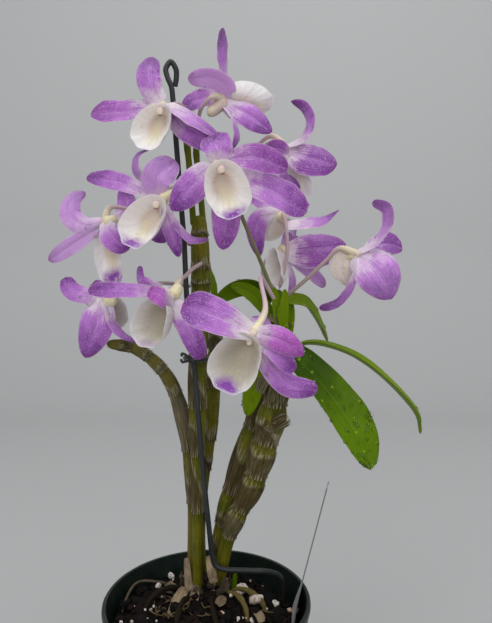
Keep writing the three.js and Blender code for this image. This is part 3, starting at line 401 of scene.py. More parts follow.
LEAF_BASES = [
    (3.0, 0.8, [(283, 350, 0), (279, 318, -1), (274, 287, 0)]),
    (2.5, 0.8, [(284, 346, -1), (284, 312, -2), (285, 289, -1)]),
    (2.5, 0.8, [(286, 350, 1), (290, 322, 1), (291, 300, 2)]),
    (3.0, 0.8, [(285, 348, 3), (276, 326, 5), (263, 302, 7)]),
    (2.0, 0.8, [(285, 342, -1.5), (282, 322, -2), (279, 306, -2)]),
]

# ---------- stage, in metres ----------

BACKDROP = Sizes(half=2.0, front=-1.2, back=0.55, bend=0.3, top=1.8)
SKY_COLOUR = (0.95, 0.98, 1.0)
# The lamps, as (place, size, power), and the height that they face.
LAMPS = {
    "key_light": ((-0.5, -0.9, 1.1), 0.9, 5.5),
    "top_light": ((0.3, -0.2, 1.3), 0.9, 6.5),
    "fill_light": ((0.25, -1.1, 0.02), 1.0, 3.5),
}
LAMP_AIM = 0.14


def srgb(red, green, blue):
    """A display colour of 0 to 255 a channel as a linear colour."""
    shares = np.array([red, green, blue]) / 255
    return tuple(float(v) for v in np.where(shares <= 0.04045, shares / 12.92, ((shares + 0.055) / 1.055) ** 2.4))


# ---------- curves and frames ----------


def unit(v):
    """The vector, or each row of vectors, at length one."""
    v = np.asarray(v, float)
    return v / np.linalg.norm(v, axis=-1, keepdims=True)


def smooth(x):
    """3x² − 2x³ between 0 and 1."""
    x = np.clip(x, 0, 1)
    return x * x * (3 - 2 * x)


def view_drop(down):
    """The angle below level at which the camera sees a row of its frame."""
    return math.radians(CAMERA.pitch) + math.atan((down - CAMERA.middle[1]) / CAMERA.focal)


def front(across, down, y):
    """The point at depth y that the camera sees at a place of its 492 by 623 frame."""
    reach = y - CAMERA.at[1]
    x = CAMERA.at[0] + (across - CAMERA.middle[0]) * reach / CAMERA.focal
    return np.array([x, y, CAMERA.at[2] - reach * math.tan(view_drop(down))])


def through(points, u):
    """The centripetal Catmull-Rom curve through the points at shares u of its spans, with its ends carried on."""
    p = np.asarray(points, float)
    spans = len(p) - 1
    p = np.vstack([2 * p[0] - p[1], p, 2 * p[-1] - p[-2]])
    place = np.clip(np.asarray(u) * spans, 0, spans - TINY)
    i = place.astype(int)
    w = (place - i)[:, None]
    x0, x1, x2, x3 = p[i], p[i + 1], p[i + 2], p[i + 3]
    d0, d1, d2 = (np.linalg.norm(b - a, axis=1, keepdims=True) ** 0.5 for a, b in ((x0, x1), (x1, x2), (x2, x3)))
    t1 = ((x1 - x0) / d0 - (x2 - x0) / (d0 + d1) + (x2 - x1) / d1) * d1
    t2 = ((x2 - x1) / d1 - (x3 - x1) / (d1 + d2) + (x3 - x2) / d2) * d1
    return x1 + t1 * w + (3 * (x2 - x1) - 2 * t1 - t2) * w**2 + (2 * (x1 - x2) + t1 + t2) * w**3


def course(places, rows):
    """A curve through places in the camera's frame: the shares of its rows, its points and its unit tangents."""
    u = dense(rows)
    at = through([front(*place) for place in places], u)
    return u, at, unit(np.gradient(at, u, axis=0))


def arch(base, mid, tip, rows):
    """The same for the parabola that passes mid halfway from base to tip."""
    control = 2 * mid - 0.5 * base - 0.5 * tip
    u = dense(rows)
    v = u[:, None]
    points = (1 - v) ** 2 * base + 2 * v * (1 - v) * control + v**2 * tip
    return u, points, unit(2 * (1 - v) * (control - base) + 2 * v * (tip - control))


def faces_along(tangents, face):
    """The face normal at each row: the one before it, made square to the tangent, so that it never twists."""
    face, rows = np.asarray(face, float), []
    for tangent in tangents:
        face = unit(face - tangent * (face @ tangent))
        rows.append(face)
    return np.array(rows)


def rolled(tangents, faces, degrees):
    """The across and out vectors of each row, turned about the tangent by an angle."""
    sides, turn = np.cross(tangents, faces), math.radians(degrees)
    return sides * math.cos(turn) + faces * math.sin(turn), faces * math.cos(turn) - sides * math.sin(turn)


# ---------- pieces ----------


def grid_faces(rows, columns, closed):
    """The quads of a grid of points, row after row; closed joins the last column to the first."""
    i = np.arange(rows - 1)[:, None] * columns
    j = np.arange(columns if closed else columns - 1)[None, :]
    k = (j + 1) % columns
    return np.stack(np.broadcast_arrays(i + j, i + k, i + columns + k, i + columns + j), -1).reshape(-1, 4)


class Piece:
    """Grids of points gathered into one mesh object of the plant, in millimetres until it is made."""

    def __init__(self, name, *materials):
        self.name, self.materials = name, materials
        self.points, self.faces, self.corners, self.kinds, self.total = [], [], [], [], 0

    def grid(self, points, along, across, kind=0, tone=0.0, back=0.0, closed=False):
        """Adds a grid, with its along and across values, the number of its material, and its tone and back values."""
        rows, columns = points.shape[:2]
        faces = grid_faces(rows, columns, closed)
        values = [np.broadcast_to(v, (rows, columns)).ravel() for v in (along, across, tone, back)]
        self.points.append(points.reshape(-1, 3))
        self.faces.append(faces + self.total)
        self.corners.append(np.stack(values, -1)[faces.ravel()])
        self.kinds.append(np.full(len(faces), kind))
        self.total += rows * columns

    def make(self, slot, *nodes, sharp=60):
        """Makes the object: points that meet are merged, so that poles and seams close, and faces look outwards."""
        mesh = bpy.data.meshes.new(self.name)
        points, faces, corners = (np.concatenate(v) for v in (self.points, self.faces, self.corners))
        mesh.from_pydata((points * MM).tolist(), [], faces.tolist())
        mesh.polygons.foreach_set("material_index", np.concatenate(self.kinds))
        mesh.uv_layers.new(name="shape").data.foreach_set("uv", corners[:, :2].ravel())
        for column, name in ((2, "tone"), (3, "back")):
            mesh.attributes.new(name, "FLOAT", "CORNER").data.foreach_set("value", corners[:, column].copy())
        for finish in self.materials:
            mesh.materials.append(finish)
        shell = bmesh.new()
        shell.from_mesh(mesh)
        bmesh.ops.remove_doubles(shell, verts=shell.verts, dist=2e-7)
        bmesh.ops.recalc_face_normals(shell, faces=shell.faces)
        shell.to_mesh(mesh)
        shell.free()
        mesh.polygons.foreach_set("use_smooth", np.ones(len(mesh.polygons), bool))
        mesh.set_sharp_from_angle(angle=math.radians(sharp))
        made = placed(self.name, mesh)
        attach(made, "root")
        if nodes:
            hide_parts(*nodes)
        return made


def pointed(rings):
    """The rings with both ends closed: each end ring is followed by its own middle."""
    first, last = rings[:1].mean(axis=1, keepdims=True), rings[-1:].mean(axis=1, keepdims=True)
    shape = (1, rings.shape[1], 3)
    return np.concatenate([np.broadcast_to(first, shape), rings, np.broadcast_to(last, shape)])


def around(sides):
    """The angles of a ring, as one row that ends with a full turn."""
    return np.linspace(0, TURN, sides + 1)[None]


def spokes_along(centre, angle, start=None):
    """Unit vectors out from a path, one for each of its points and each angle, from an untwisted start."""
    tangents = unit(np.gradient(centre, axis=0))
    if start is None:
        start = EAST if abs(tangents[0][2]) > 0.7 else UP
    faces = faces_along(tangents, start)
    sides = np.cross(tangents, faces)
    return sides[:, None] * np.cos(angle)[..., None] + faces[:, None] * np.sin(angle)[..., None]


def placed(name, data):
    """A new object in the scene."""
    made = bpy.data.objects.new(name, data)
    bpy.context.scene.collection.objects.link(made)
    return made


def tube(piece, points, radius, rows, sides, kind=0, tone=0.0, relief=None):
    """A round tube along the points; radius(u) is its radius, and relief(u, angle) adds to it."""
    u, angle = np.linspace(0, 1, rows), around(sides)
    centre = through(points, u)
    r = np.broadcast_to(radius(u), u.shape)[:, None] + (relief(u[:, None], angle) if relief else 0)
    r = np.broadcast_to(r, (rows, sides + 1))[..., None]
    rings = pointed(centre[:, None] + spokes_along(centre, angle) * r)
    piece.grid(rings, np.concatenate([[0], u, [1]])[:, None], angle / TURN, kind, tone)


def rounded(u, ends=0.12):
    """A share of the radius that rounds both ends of a tube: a quarter circle over that share of its length."""
    near = np.minimum(u, 1 - u) / ends
    return np.sqrt(1 - np.clip(1 - near, 0, 1) ** 2) * 0.98 + 0.02


def ball_angles(rows, columns):
    """The angles down from a ball's pole, as a column, and those round it, as a row."""
    return np.linspace(0, PI, rows)[:, None], around(columns)


def add_ball(piece, points, kind, tone=0.0):
    """Adds a ball's grid of points, with its poles and its seam closed."""
    down, turn = ball_angles(points.shape[0], points.shape[1] - 1)
    points[0], points[-1] = points[0].mean(axis=0), points[-1].mean(axis=0)
    points[:, -1] = points[:, 0]
    piece.grid(points, down / PI, turn / TURN, kind, tone)


def lump(piece, at, size, rows, columns, turn=(0, 0, 0), power=1.0, rough=0.0, kind=0, tone=0.0, phase=0.0):
    """A closed lump: an ellipsoid whose sines and cosines are raised to a power (low is boxy), with low swells."""
    down, angle = ball_angles(rows, columns)
    bend = lambda v: np.sign(v) * np.abs(v) ** power
    swell = 1 + rough * (np.sin(3 * angle + phase) * np.sin(2 * down + phase) + 0.6 * np.sin(5 * angle + 2 * phase))
    ring = bend(np.sin(down)) * swell
    parts = (ring * bend(np.cos(angle)), ring * bend(np.sin(angle)), bend(np.cos(down)))
    points = np.stack(np.broadcast_arrays(*parts), -1) * np.asarray(size)
    a, b, c = turn
    about_x = np.array([[1, 0, 0], [0, math.cos(a), -math.sin(a)], [0, math.sin(a), math.cos(a)]])
    about_y = np.array([[math.cos(b), 0, math.sin(b)], [0, 1, 0], [-math.sin(b), 0, math.cos(b)]])
    about_z = np.array([[math.cos(c), -math.sin(c), 0], [math.sin(c), math.cos(c), 0], [0, 0, 1]])
    add_ball(piece, points @ (about_z @ about_y @ about_x).T + np.asarray(at), kind, tone)


def sheet(piece, middle, out, thick, along, across, kind, tone, paper):
    """A thin closed sheet about a middle surface: its two faces stand off along out and meet at the margins. Its
    back value is 1 on the back, or 1 all over for paper."""
    fore, hind = middle + out * thick, middle - out * thick
    ring = np.concatenate([fore, hind[:, -2:0:-1]], axis=1)
    ring = np.concatenate([np.broadcast_to(ring[:1].mean(axis=1, keepdims=True), ring[:1].shape), ring])
    rows, columns = middle.shape[:2]
    sides = np.broadcast_to(across, (rows, columns))
    sides = np.concatenate([sides, sides[:, -2:0:-1]], axis=1)
    sides = np.concatenate([sides[:1], sides])
    ends = np.concatenate([[0], along])[:, None]
    is_back = np.concatenate([np.full(columns, float(paper)), np.ones(columns - 2)])[None]
    piece.grid(ring, ends, sides, kind, tone, is_back, closed=True)
    normal = unit(np.cross(np.gradient(middle, axis=0)[1:-1], np.gradient(middle, axis=1)[1:-1]) + TINY)
    return fore[1:-1], normal * np.sign(np.sum(normal * out[1:-1], -1, keepdims=True) + TINY)


def dense(rows, power=1.6):
    """Shares from 0 to 1 that lie closer together towards the tip."""
    return 1 - (1 - np.linspace(0, 1, rows)) ** power


def closing(u, last=0.035):
    """1 along the blade, then a quarter circle down to 0 over its last share, for a round tip."""
    return np.sqrt(1 - np.clip((u - 1 + last) / last, 0, 1) ** 2)


def blade(piece, base, shape, face, form, kind, tone, phase=0.0, rows=34, columns=19):
    """A leaf or husk as an arch from its base; its shape is (middle, tip, width), with both places from the base."""
    base, shape = np.asarray(base, float), np.asarray(shape, float)
    path = arch(base, base + shape[:3], base + shape[3:6], rows)
    strip(piece, path, face, shape[6], 0.0, FORMS[form], phase, columns, kind, tone)


def tepal(piece, width, roll, form, tone, places, phase):
    """A petal or sepal through places, whose face is turned by roll from facing front."""
    return strip(piece, course(places, 40), FACING["tepal"], width, roll, FORMS[form], phase, 23, 0, tone)


def strip(piece, path, face, width, roll, form, phase, columns, kind, tone, marks=None, paper=False):
    """A blade along a course or arch: its half width rises to the form's peak and falls from there as powers of 1
    less the square of the way from the peak, on a claw that narrows from the base; its margins rise by cup times
    the square of the way out and wave by ruffle, and keel sinks its midrib."""
    u, at, tangents = path
    across, out = rolled(tangents, faces_along(tangents, face), roll)
    claw = form.claw * (1 - u)
    below, past = 1 - np.clip(u / form.peak, 0, 1), np.clip((u - form.peak) / (1 - form.peak), 0, 1)
    bump = np.where(u < form.peak, (1 - below**2) ** form.rise, (1 - past**2) ** form.fall)
    half = ((width / 2) * (bump * (1 - claw) + claw) * BLADE.full + BLADE.least) * closing(u)
    s = np.sin(PI / 2 * np.linspace(-1, 1, columns))[None]
    waves = np.sin(TURN * 1.7 * u[:, None] + phase + 1.9 * (s > 0)) + 0.4 * np.sin(TURN * 4.3 * u[:, None] - phase)
    rise = form.cup * s**2 + form.ruffle * waves * np.abs(s) ** 3 - form.keel * np.exp(-((s / BLADE.rib) ** 2))
    half = half[:, None]
    middle = at[:, None] + across[:, None] * (half * s)[..., None] + out[:, None] * (half * rise)[..., None]
    thick = form.thick / 2 * (1 - s**4) * closing(u)[:, None]
    out = np.broadcast_to(out[:, None], middle.shape)
    marks = u if marks is None else marks
    return sheet(piece, middle, out, thick[..., None], marks, (s + 1) / (8 if paper else 2), kind, tone, paper)


def lip(piece, joint, shape, face, kind, tone, phase):
    """The lip: a bowl from its throat to an egg-shaped rim. In the rim's plane it spreads by the share to the power
    spread, and towards its mouth by the share to the power deep; the rim's width follows the egg and is frilled.
    Gives its inner surface, its throat and the place of the column's cap in it."""
    rows, turn = 30, around(72)[0]
    top, tip = front(*shape[0]), front(*shape[1])
    length = tip - top
    half, middle = length / 2, (tip + top) / 2
    long = unit(half)
    out = unit(face - long * (long @ face))
    wide = np.cross(out, long) * shape[2] / 2
    egg = np.sign(np.sin(turn)) * np.abs(np.sin(turn)) ** LIP.blunt * (1 - LIP.egg * np.cos(turn))
    frill = 1 + LIP.frill * (np.sin(5 * turn + phase) + 0.7 * np.sin(11 * turn - phase)) * np.sin(turn / 2) ** 2
    rim = middle - half * (np.cos(turn) * frill)[:, None] + wide * (egg * frill)[:, None]
    lift = LIP.side_rise * np.sin(turn) ** 2 - LIP.tip_dip * np.clip(-np.cos(turn), 0, 1) ** 4
    lift = lift + LIP.wave * np.sin(7 * turn + phase) * np.sin(turn / 2) ** 2
    rim = rim + out * lift[:, None]
    rim[-1] = rim[0]
    throat, cap = (start + at[0] * length - out * at[1] for start, at in ((joint, LIP.throat), (top, LIP.cap)))
    reach = rim - throat
    rise = reach @ out
    flat = reach - rise[:, None] * out
    share = np.linspace(0, 1, rows)[:, None]
    u = share[..., None]
    bowl = throat + flat[None] * u**LIP.spread + out * rise[None, :, None] * u**LIP.deep
    normal = np.cross(np.gradient(bowl, axis=0), np.gradient(bowl, axis=1))
    normal[:, 0] = normal[:, -1] = normal[:, 0] + normal[:, -1]
    normal[0] = out
    normal = unit(normal + TINY)
    normal *= np.sign(np.sum(normal[rows // 2] * out, -1).mean())
    normal[0] = out
    thick = (LIP.thick / 2 * (1 - share**6) * (0.3 + 0.7 * smooth(share * 6)))[..., None]
    inner, outer = bowl + normal * thick, bowl - normal * thick
    rings = np.concatenate([inner, outer[-2::-1]])
    marks = np.concatenate([share, share[-2::-1]])
    is_back = np.concatenate([np.zeros(rows), np.ones(rows - 1)])[:, None]
    size, from_tip = LIP.spot
    near = np.linalg.norm(rings - (tip - from_tip * length), axis=-1) / (size * np.linalg.norm(length))
    piece.grid(rings, marks, turn[None] / TURN, kind, tone * smooth(1.4 - near), is_back)
    return (inner[3:-1], normal[3:-1]), throat, cap


def scatter_beads(piece, surface, count, sizes, kind, random):
    """Drops of water on a surface: flattened balls, sunk a little, each turned to the normal where it sits."""
    points, normals = surface
    rows, columns = points.shape[:2]
    down, angle = ball_angles(6, 8)
    low, high = sizes
    for _ in range(count):
        i, j = random.integers(2, rows - 1), random.integers(1, columns - 1)
        normal = normals[i, j]
        side = unit(np.cross(normal, (0.3, 0.5, 0.8)))
        radius = low + (high - low) * random.random() ** 2.5
        at = points[i, j] + (points[i - 1, j] - points[i, j]) * random.random()
        ball = (
            side * (np.sin(down) * np.cos(angle))[..., None]
            + np.cross(normal, side) * (np.sin(down) * np.sin(angle))[..., None]
            + normal * (0.62 * np.cos(down) + 0.12 + 0 * angle)[..., None]
        )
        add_ball(piece, at + ball * radius, kind)


# ---------- shader graphs ----------


class Graph:
    """Adds nodes to one shader tree. A socket given as a value is linked, and a plain value is stored."""

    def __init__(self, tree):
        self.tree = tree

    def add(self, kind, inputs=(), **settings):
        """A node with its settings and inputs."""
        made = self.tree.nodes.new(kind)
        for name, value in settings.items():
            setattr(made, name, value)
        for name, value in dict(inputs).items():
            if isinstance(value, bpy.types.NodeSocket):
                self.tree.links.new(value, made.inputs[name])
            else:
                made.inputs[name].default_value = value
        return made

    def math(self, operation, first, second=0.0, third=0.0, clamp=False):
        """One sum, product or function of numbers."""
        inputs = {0: first, 1: second, 2: third}
        return self.add("ShaderNodeMath", inputs, operation=operation, use_clamp=clamp).outputs[0]

    def times(self, first, second, plus=None, clamp=False):
        """A product and, if given, a number added to it."""
        if plus is None:
            return self.math("MULTIPLY", first, second, clamp=clamp)
        return self.math("MULTIPLY_ADD", first, second, plus, clamp)

    def off_middle(self, across):
        """How far a value is from a half."""
        return self.math("ABSOLUTE", self.math("SUBTRACT", across, 0.5))

    def mix(self, factor, first, second):
        """Two colours mixed by a factor."""
        inputs = {0: factor}
        for index, value in ((6, first), (7, second)):
            inputs[index] = value if isinstance(value, bpy.types.NodeSocket) else (*value, 1.0)
        return self.add("ShaderNodeMix", inputs, data_type="RGBA").outputs[2]

    def tinted(self, shade, tints):
        """A colour with tints laid over it in turn, each by its mask, the strength of that and its own colour."""
        for mask, strength, tint in tints:
            shade = self.mix(mask if strength == 1 else self.times(mask, strength), shade, tint)
        return shade

    def span(self, value, low, high, start=0.0, end=1.0):
        """The value from low to high as start to end, smoothly."""
        inputs = {0: value, 1: low, 2: high, 3: start, 4: end}
        return self.add("ShaderNodeMapRange", inputs, interpolation_type="SMOOTHSTEP").outputs[0]

    def noise(self, vector, scale, detail=3.0, roughness=0.55):
        """Fractal noise about a half."""
        inputs = {"Vector": vector, "Scale": scale, "Detail": detail, "Roughness": roughness}
        return self.add("ShaderNodeTexNoise", inputs).outputs[0]

    def vector(self, x, y, z=0.0):
        """Three numbers as a vector."""
        return self.add("ShaderNodeCombineXYZ", {0: x, 1: y, 2: z}).outputs[0]

    def place(self):
        """The point on the object."""
        return self.add("ShaderNodeTexCoord").outputs["Object"]

    def height(self):
        """The height of the point on the object."""
        return self.add("ShaderNodeSeparateXYZ", {0: self.place()}).outputs[2]

    def shape(self):
        """The along and across values of the surface."""
        parts = self.add("ShaderNodeSeparateXYZ", {0: self.add("ShaderNodeUVMap", uv_map="shape").outputs[0]})
        return parts.outputs[0], parts.outputs[1]

    def value(self, name):
        """A value that the piece carries at each corner."""
        return self.add("ShaderNodeAttribute", attribute_name=name).outputs["Fac"]

    def bump(self, height, strength, distance):
        """A normal from a height."""
        inputs = {"Height": height, "Strength": strength, "Distance": distance}
        return self.add("ShaderNodeBump", inputs).outputs[0]

    def group(self, name, **inputs):
        """One of the shared effects, by name."""
        return self.add("ShaderNodeGroup", inputs, node_tree=bpy.data.node_groups[name]).outputs[0]


def any_phase(random):
    """A random phase for waves."""
    return 6 * random.random()


def material(name, build, **settings):
    """A material, made once, whose build(graph) gives the linked inputs of its Principled shader; settings are plain
    values."""
    made = bpy.data.materials.get(name)
    if made:
        return made
    made = bpy.data.materials.new(name)
    made.use_nodes = True
    shader = made.node_tree.nodes["Principled BSDF"]
    for key, value in settings.items():
        shader.inputs[key.replace("_", " ")].default_value = value
    for key, value in build(Graph(made.node_tree)).items():
        made.node_tree.links.new(value, shader.inputs[key.replace("_", " ")])
    return made


def effect(name, inputs, build):
    """A shared effect: a node group with named number inputs and one Value output."""
    tree = bpy.data.node_groups.new(name, "ShaderNodeTree")
    for key, default in inputs.items():
        tree.interface.new_socket(key, in_out="INPUT", socket_type="NodeSocketFloat").default_value = default
    tree.interface.new_socket("Value", in_out="OUTPUT", socket_type="NodeSocketFloat")
    enter, leave = tree.nodes.new("NodeGroupInput"), tree.nodes.new("NodeGroupOutput")
    tree.links.new(build(Graph(tree), {key: enter.outputs[key] for key in inputs}), leave.inputs[0])


def make_effects():
    """The effects that several materials share: veins along a blade, mottle, fibres along it and dots of dew, which
    materials use as bumps and lighten as painted highlights.
    """

    def veins(graph, given):
        along, across = graph.shape()
        wobble = graph.times(graph.noise(graph.place(), 160.0, 2.0), 0.05, -0.025)
        steps = graph.times(graph.math("ADD", across, wobble), given["Count"])
        off = graph.off_middle(graph.math("FRACT", steps))
        return graph.times(graph.span(off, 0.0, 0.3, 1.0, 0.0), graph.span(along, 0.02, 0.2))

    def mottle(graph, given):
        coarse = graph.noise(graph.place(), given["Scale"], 4.0, 0.6)
        return graph.span(coarse, 0.35, 0.65)

    def fibres(graph, given):
        along, across = graph.shape()
        spots = graph.vector(graph.times(along, given["Along"]), graph.times(across, given["Across"]))
        return graph.span(graph.noise(spots, 1.0, 3.0, 0.6), 0.32, 0.68)

    # Dots of dew: bumps for the drops, and the mask of their painted highlights where a material lightens them.
    def dew_and_glint(graph, given):
        cells = graph.add("ShaderNodeTexVoronoi", {"Vector": graph.place(), "Scale": given["Scale"]})
        pick = graph.add("ShaderNodeSeparateColor", {0: cells.outputs["Color"]}).outputs[0]
        size = graph.span(pick, 0.5, 1.0, 0.0, 0.32)
        return graph.span(graph.math("SUBTRACT", size, cells.outputs["Distance"]), 0.0, 0.1)

    effect("veins", {"Count": 14.0}, veins)
    effect("dew_and_glint", {"Scale": 1000.0}, dew_and_glint)
    effect("mottle", {"Scale": 300.0}, mottle)
    effect("fibres", {"Along": 3.0, "Across": 60.0}, fibres)


# ---------- settings ----------


def colour(name, description, value):
    """A colour setting."""
    return FloatVectorProperty(name=name, description=description, subtype="COLOR", size=3, min=0, max=1, default=value)


class ORCHID_PG_bloom(bpy.types.PropertyGroup):
    """Looks of the blooms."""

    base: colour("Tepal base", "Colour of petals and sepals where they join", srgb(238, 222, 232))
    middle: colour("Tepal", "Colour of petals and sepals halfway", srgb(184, 112, 204))
    tip: colour("Tepal tip", "Colour of petals and sepals at the tip", srgb(116, 24, 142))
    lip: colour("Lip", "Colour of the lip", srgb(243, 235, 231))
    spot: colour("Lip spot", "Colour of the spot at the lip's tip", srgb(120, 34, 156))
    drops: IntProperty(name="Drops", description="Drops of water on each blade", default=9, min=0, max=40)


class ORCHID_PG_plant(bpy.types.PropertyGroup):
    """Looks of canes, leaves and roots."""

    cane: colour("Cane", "Colour of a cane's green skin", srgb(112, 116, 10))
    sheath: colour("Sheath", "Colour of the dry sheaths", srgb(130, 112, 74))
    fibre: colour("Fibre", "Colour of the sheaths' fibres", srgb(212, 202, 162))
    leaf: colour("Leaf", "Colour of the leaves", srgb(80, 108, 0))
    root: colour("Root", "Colour of the roots", srgb(104, 96, 44))


class ORCHID_PG_pot(bpy.types.PropertyGroup):
    """Looks of the pot, the mix and what stands in it."""

    pot: colour("Pot", "Colour of the plastic", srgb(8, 24, 18))
    bark: colour("Bark", "Colour of the bark", srgb(38, 24, 17))
    chips: IntProperty(name="Chips", description="Chips of bark on the mix", default=330, min=0, max=900)
    sides: IntProperty(name="Pot sides", description="Steps round the pot", default=128, min=24, max=256)


class ORCHID_PG_stage(bpy.types.PropertyGroup):
    """Light, floor and camera."""

    grey: colour("Backdrop", "Colour of the floor and backdrop", (0.53, 0.53, 0.53))
    sky: FloatProperty(name="Sky", description="Strength of the even light", default=0.52, min=0, max=5)
    key: FloatProperty(name="Key light", description="Strength of the large lamps", default=1.0, unit="POWER", min=0)
    lens: FloatProperty(name="Lens", description="Focal length", default=CAMERA.lens, unit="CAMERA", min=10, max=200)


# ---------- pieces of the plant ----------


class ORCHID_OT_blooms(bpy.types.Operator):
    """Make the twelve blooms: stalk, spur, column, petals, sepals, lip and drops of water"""

    bl_idname = "orchid.blooms"
    bl_label = "Blooms"

    def execute(self, context):
        look = context.scene.orchid_bloom
        lips = lip_material(look, "lip"), lip_material(look, "lip_shaded", True)
        materials = tepal_material(look), lips[0], column_material(), stalk_material(), water_material(), lips[1]
        for index, (name, bloom) in enumerate(BLOOMS.items()):
            make_bloom(name, bloom, materials, look, np.random.default_rng(index + SEEDS.bloom))
        return {"FINISHED"}


def tepal_material(look):
    """Petals and sepals: pale at the base, deeper to the tip, with darker veins, a pale midrib and pale margins; a tone
    below 0 lightens them as painted light, and dots of dew are lightened as painted highlights.
    """

    def build(graph):
        along, across = graph.shape()
        veins = graph.group("veins", Count=15.0)
        mottle = graph.group("mottle", Scale=260.0)
        streaks = graph.group("fibres", Along=2.2, Across=13.0)
        specks = graph.noise(graph.place(), 1900.0, 2.0)
        dew_and_glint = graph.group("dew_and_glint", Scale=1500.0)
        reach = graph.times(mottle, 0.18, graph.math("ADD", along, -0.09))
        reach = graph.times(streaks, 0.15, graph.math("ADD", reach, -0.075))
        shade = graph.mix(graph.span(reach, 0.06, 0.52), look.base, look.middle)
        shade = graph.mix(graph.span(reach, 0.46, 1.0), shade, look.tip)
        off = graph.off_middle(across)
        midrib = graph.times(graph.span(off, 0.0, 0.06, 0.22, 0.0), graph.span(along, 0.95, 0.6))
        margin = graph.times(graph.span(off, 0.46, 0.5), 0.5)
        calm = graph.span(graph.value("tone"), 1.0, 1.3, 1.0, 0.5)
        stripes = graph.times(graph.span(graph.value("tone"), 0.0, 1.0, 0.16, 0.75), calm)
        shade = graph.mix(graph.times(veins, stripes), shade, look.tip)
        beyond = graph.span(reach, 0.1, 0.45)
        less = graph.span(graph.value("tone"), 1.0, 1.3, 1.0, 0.4)
        rosy = graph.times(graph.span(graph.value("tone"), 0.3, 1.0, 0.0, 0.4), less)
        shade = graph.mix(graph.times(rosy, beyond), shade, srgb(206, 84, 196))
        deep = graph.span(graph.value("tone"), 1.0, 2.0, 0.0, 0.8)
        shade = graph.tinted(shade, [
            (graph.times(deep, beyond), 1, look.tip),
            # Painted light: a tone below 0 lightens a blade to violet, making up for shade where it faces down or away.
            (graph.span(graph.value("tone"), 0.0, -1.0), 1, srgb(214, 170, 228)),
            (graph.span(graph.value("tone"), -1.0, -2.0), 1, srgb(228, 214, 198)),
            (graph.math("MAXIMUM", midrib, margin), 1, srgb(214, 184, 216)),
            (graph.value("back"), 0.3, srgb(186, 146, 196)),
            (graph.span(along, 0.84, 1.0, 0.0, 0.35), 1, srgb(124, 22, 124)),
            (graph.span(specks, 0.45, 0.75, 0.0, 0.3), 1, srgb(214, 180, 226)),
            # Painted highlights: dots of dew made lighter, for glints on the drops.
            (dew_and_glint, 0.45, srgb(236, 220, 244)),
        ])
        relief = graph.times(veins, -0.6, graph.times(specks, 0.8))
        relief = graph.times(dew_and_glint, 1.5, graph.times(streaks, 0.6, relief))
        return {"Base_Color": shade, "Normal": graph.bump(relief, 0.6, 0.0002)}

    return material(
        "tepal", build, Roughness=0.42, Subsurface_Weight=0.4, Subsurface_Radius=(0.0012, 0.0007, 0.0012),
        Subsurface_Scale=1.0, Sheen_Weight=0.25, Sheen_Roughness=0.5,
    )


def lip_material(look, name, shaded=False):
    """The lip: cream, with a warm throat deepened by painted shade of its hollow, faint yellow streaks, a purple spot
    at the tip and near-white dots of dew as painted highlights; greyer with painted shade if shaded.
    """

    def build(graph):
        along, across = graph.shape()
        veins = graph.group("veins", Count=19.0)
        mottle = graph.group("mottle", Scale=350.0)
        off = graph.off_middle(across)
        # A warm throat, darker in part as painted shade of the lip's hollow.
        shade = graph.mix(graph.span(along, 0.1, 0.55), srgb(214, 194, 178), look.lip)
        streak = graph.times(graph.span(off, 0.02, 0.12, 1.0, 0.0), graph.span(along, 0.85, 0.45))
        streak = graph.times(streak, graph.times(veins, 0.5, 0.4))
        shade = graph.tinted(shade, [
            (streak, 0.55, srgb(214, 206, 130)),
            (veins, 0.07, srgb(196, 178, 186)),
        ])
        if shaded:
            # Painted shade: these lips are greyer, most towards the throat, for the shade of the petals above.
            shade = graph.mix(graph.span(along, 1.0, 0.4, 0.3, 0.75), shade, srgb(144, 140, 120))
        spot = graph.times(graph.value("tone"), graph.times(mottle, 0.5, 0.7), clamp=True)
        shade = graph.tinted(shade, [
            (spot, 1, look.spot),
            (graph.value("back"), 0.25, srgb(214, 200, 214)),
            (graph.span(along, 0.9, 1.0, 0.0, 0.5), 1, srgb(250, 246, 250)),
        ])
        dew_and_glint = graph.group("dew_and_glint", Scale=1500.0)
        # Painted highlights: near-white dots of dew, more towards the rim, for sparkle on the drops.
        painted_dew_sparkle = graph.times(dew_and_glint, graph.span(along, 0.5, 0.95, 0.35, 0.9))
        shade = graph.mix(painted_dew_sparkle, shade, srgb(252, 250, 253))
        relief = graph.times(veins, 0.5, graph.noise(graph.place(), 1500.0, 2.0))
        relief = graph.times(dew_and_glint, 1.5, relief)
        return {"Base_Color": shade, "Normal": graph.bump(relief, 0.5, 0.0002)}

    return material(
        name, build, Roughness=0.5, Subsurface_Weight=0.4, Subsurface_Radius=(0.0015, 0.0011, 0.0009),
        Subsurface_Scale=1.0, Sheen_Weight=0.2, Sheen_Roughness=0.5,
    )


def column_material():
    """The column and its cap: cream, flushed with pink towards the base, with painted shade on the lump under the cap
    that stands for the hollow there.
    """

    def build(graph):
        along, _ = graph.shape()
        mottle = graph.group("mottle", Scale=500.0)
        shade = graph.mix(graph.span(along, 0.1, 0.8), srgb(216, 184, 188), srgb(240, 228, 204))
        shade = graph.tinted(shade, [
            (mottle, 0.2, srgb(214, 186, 168)),
            # Painted shade: the lump under the cap, tone 1, is darkened for the hollow beneath it.
            (graph.value("tone"), 1, srgb(150, 112, 104)),
        ])
        return {"Base_Color": shade, "Normal": graph.bump(mottle, 0.3, 0.0002)}

    return material("column", build, Roughness=0.45, Subsurface_Weight=0.1, Subsurface_Radius=(0.001, 0.0006, 0.0005))


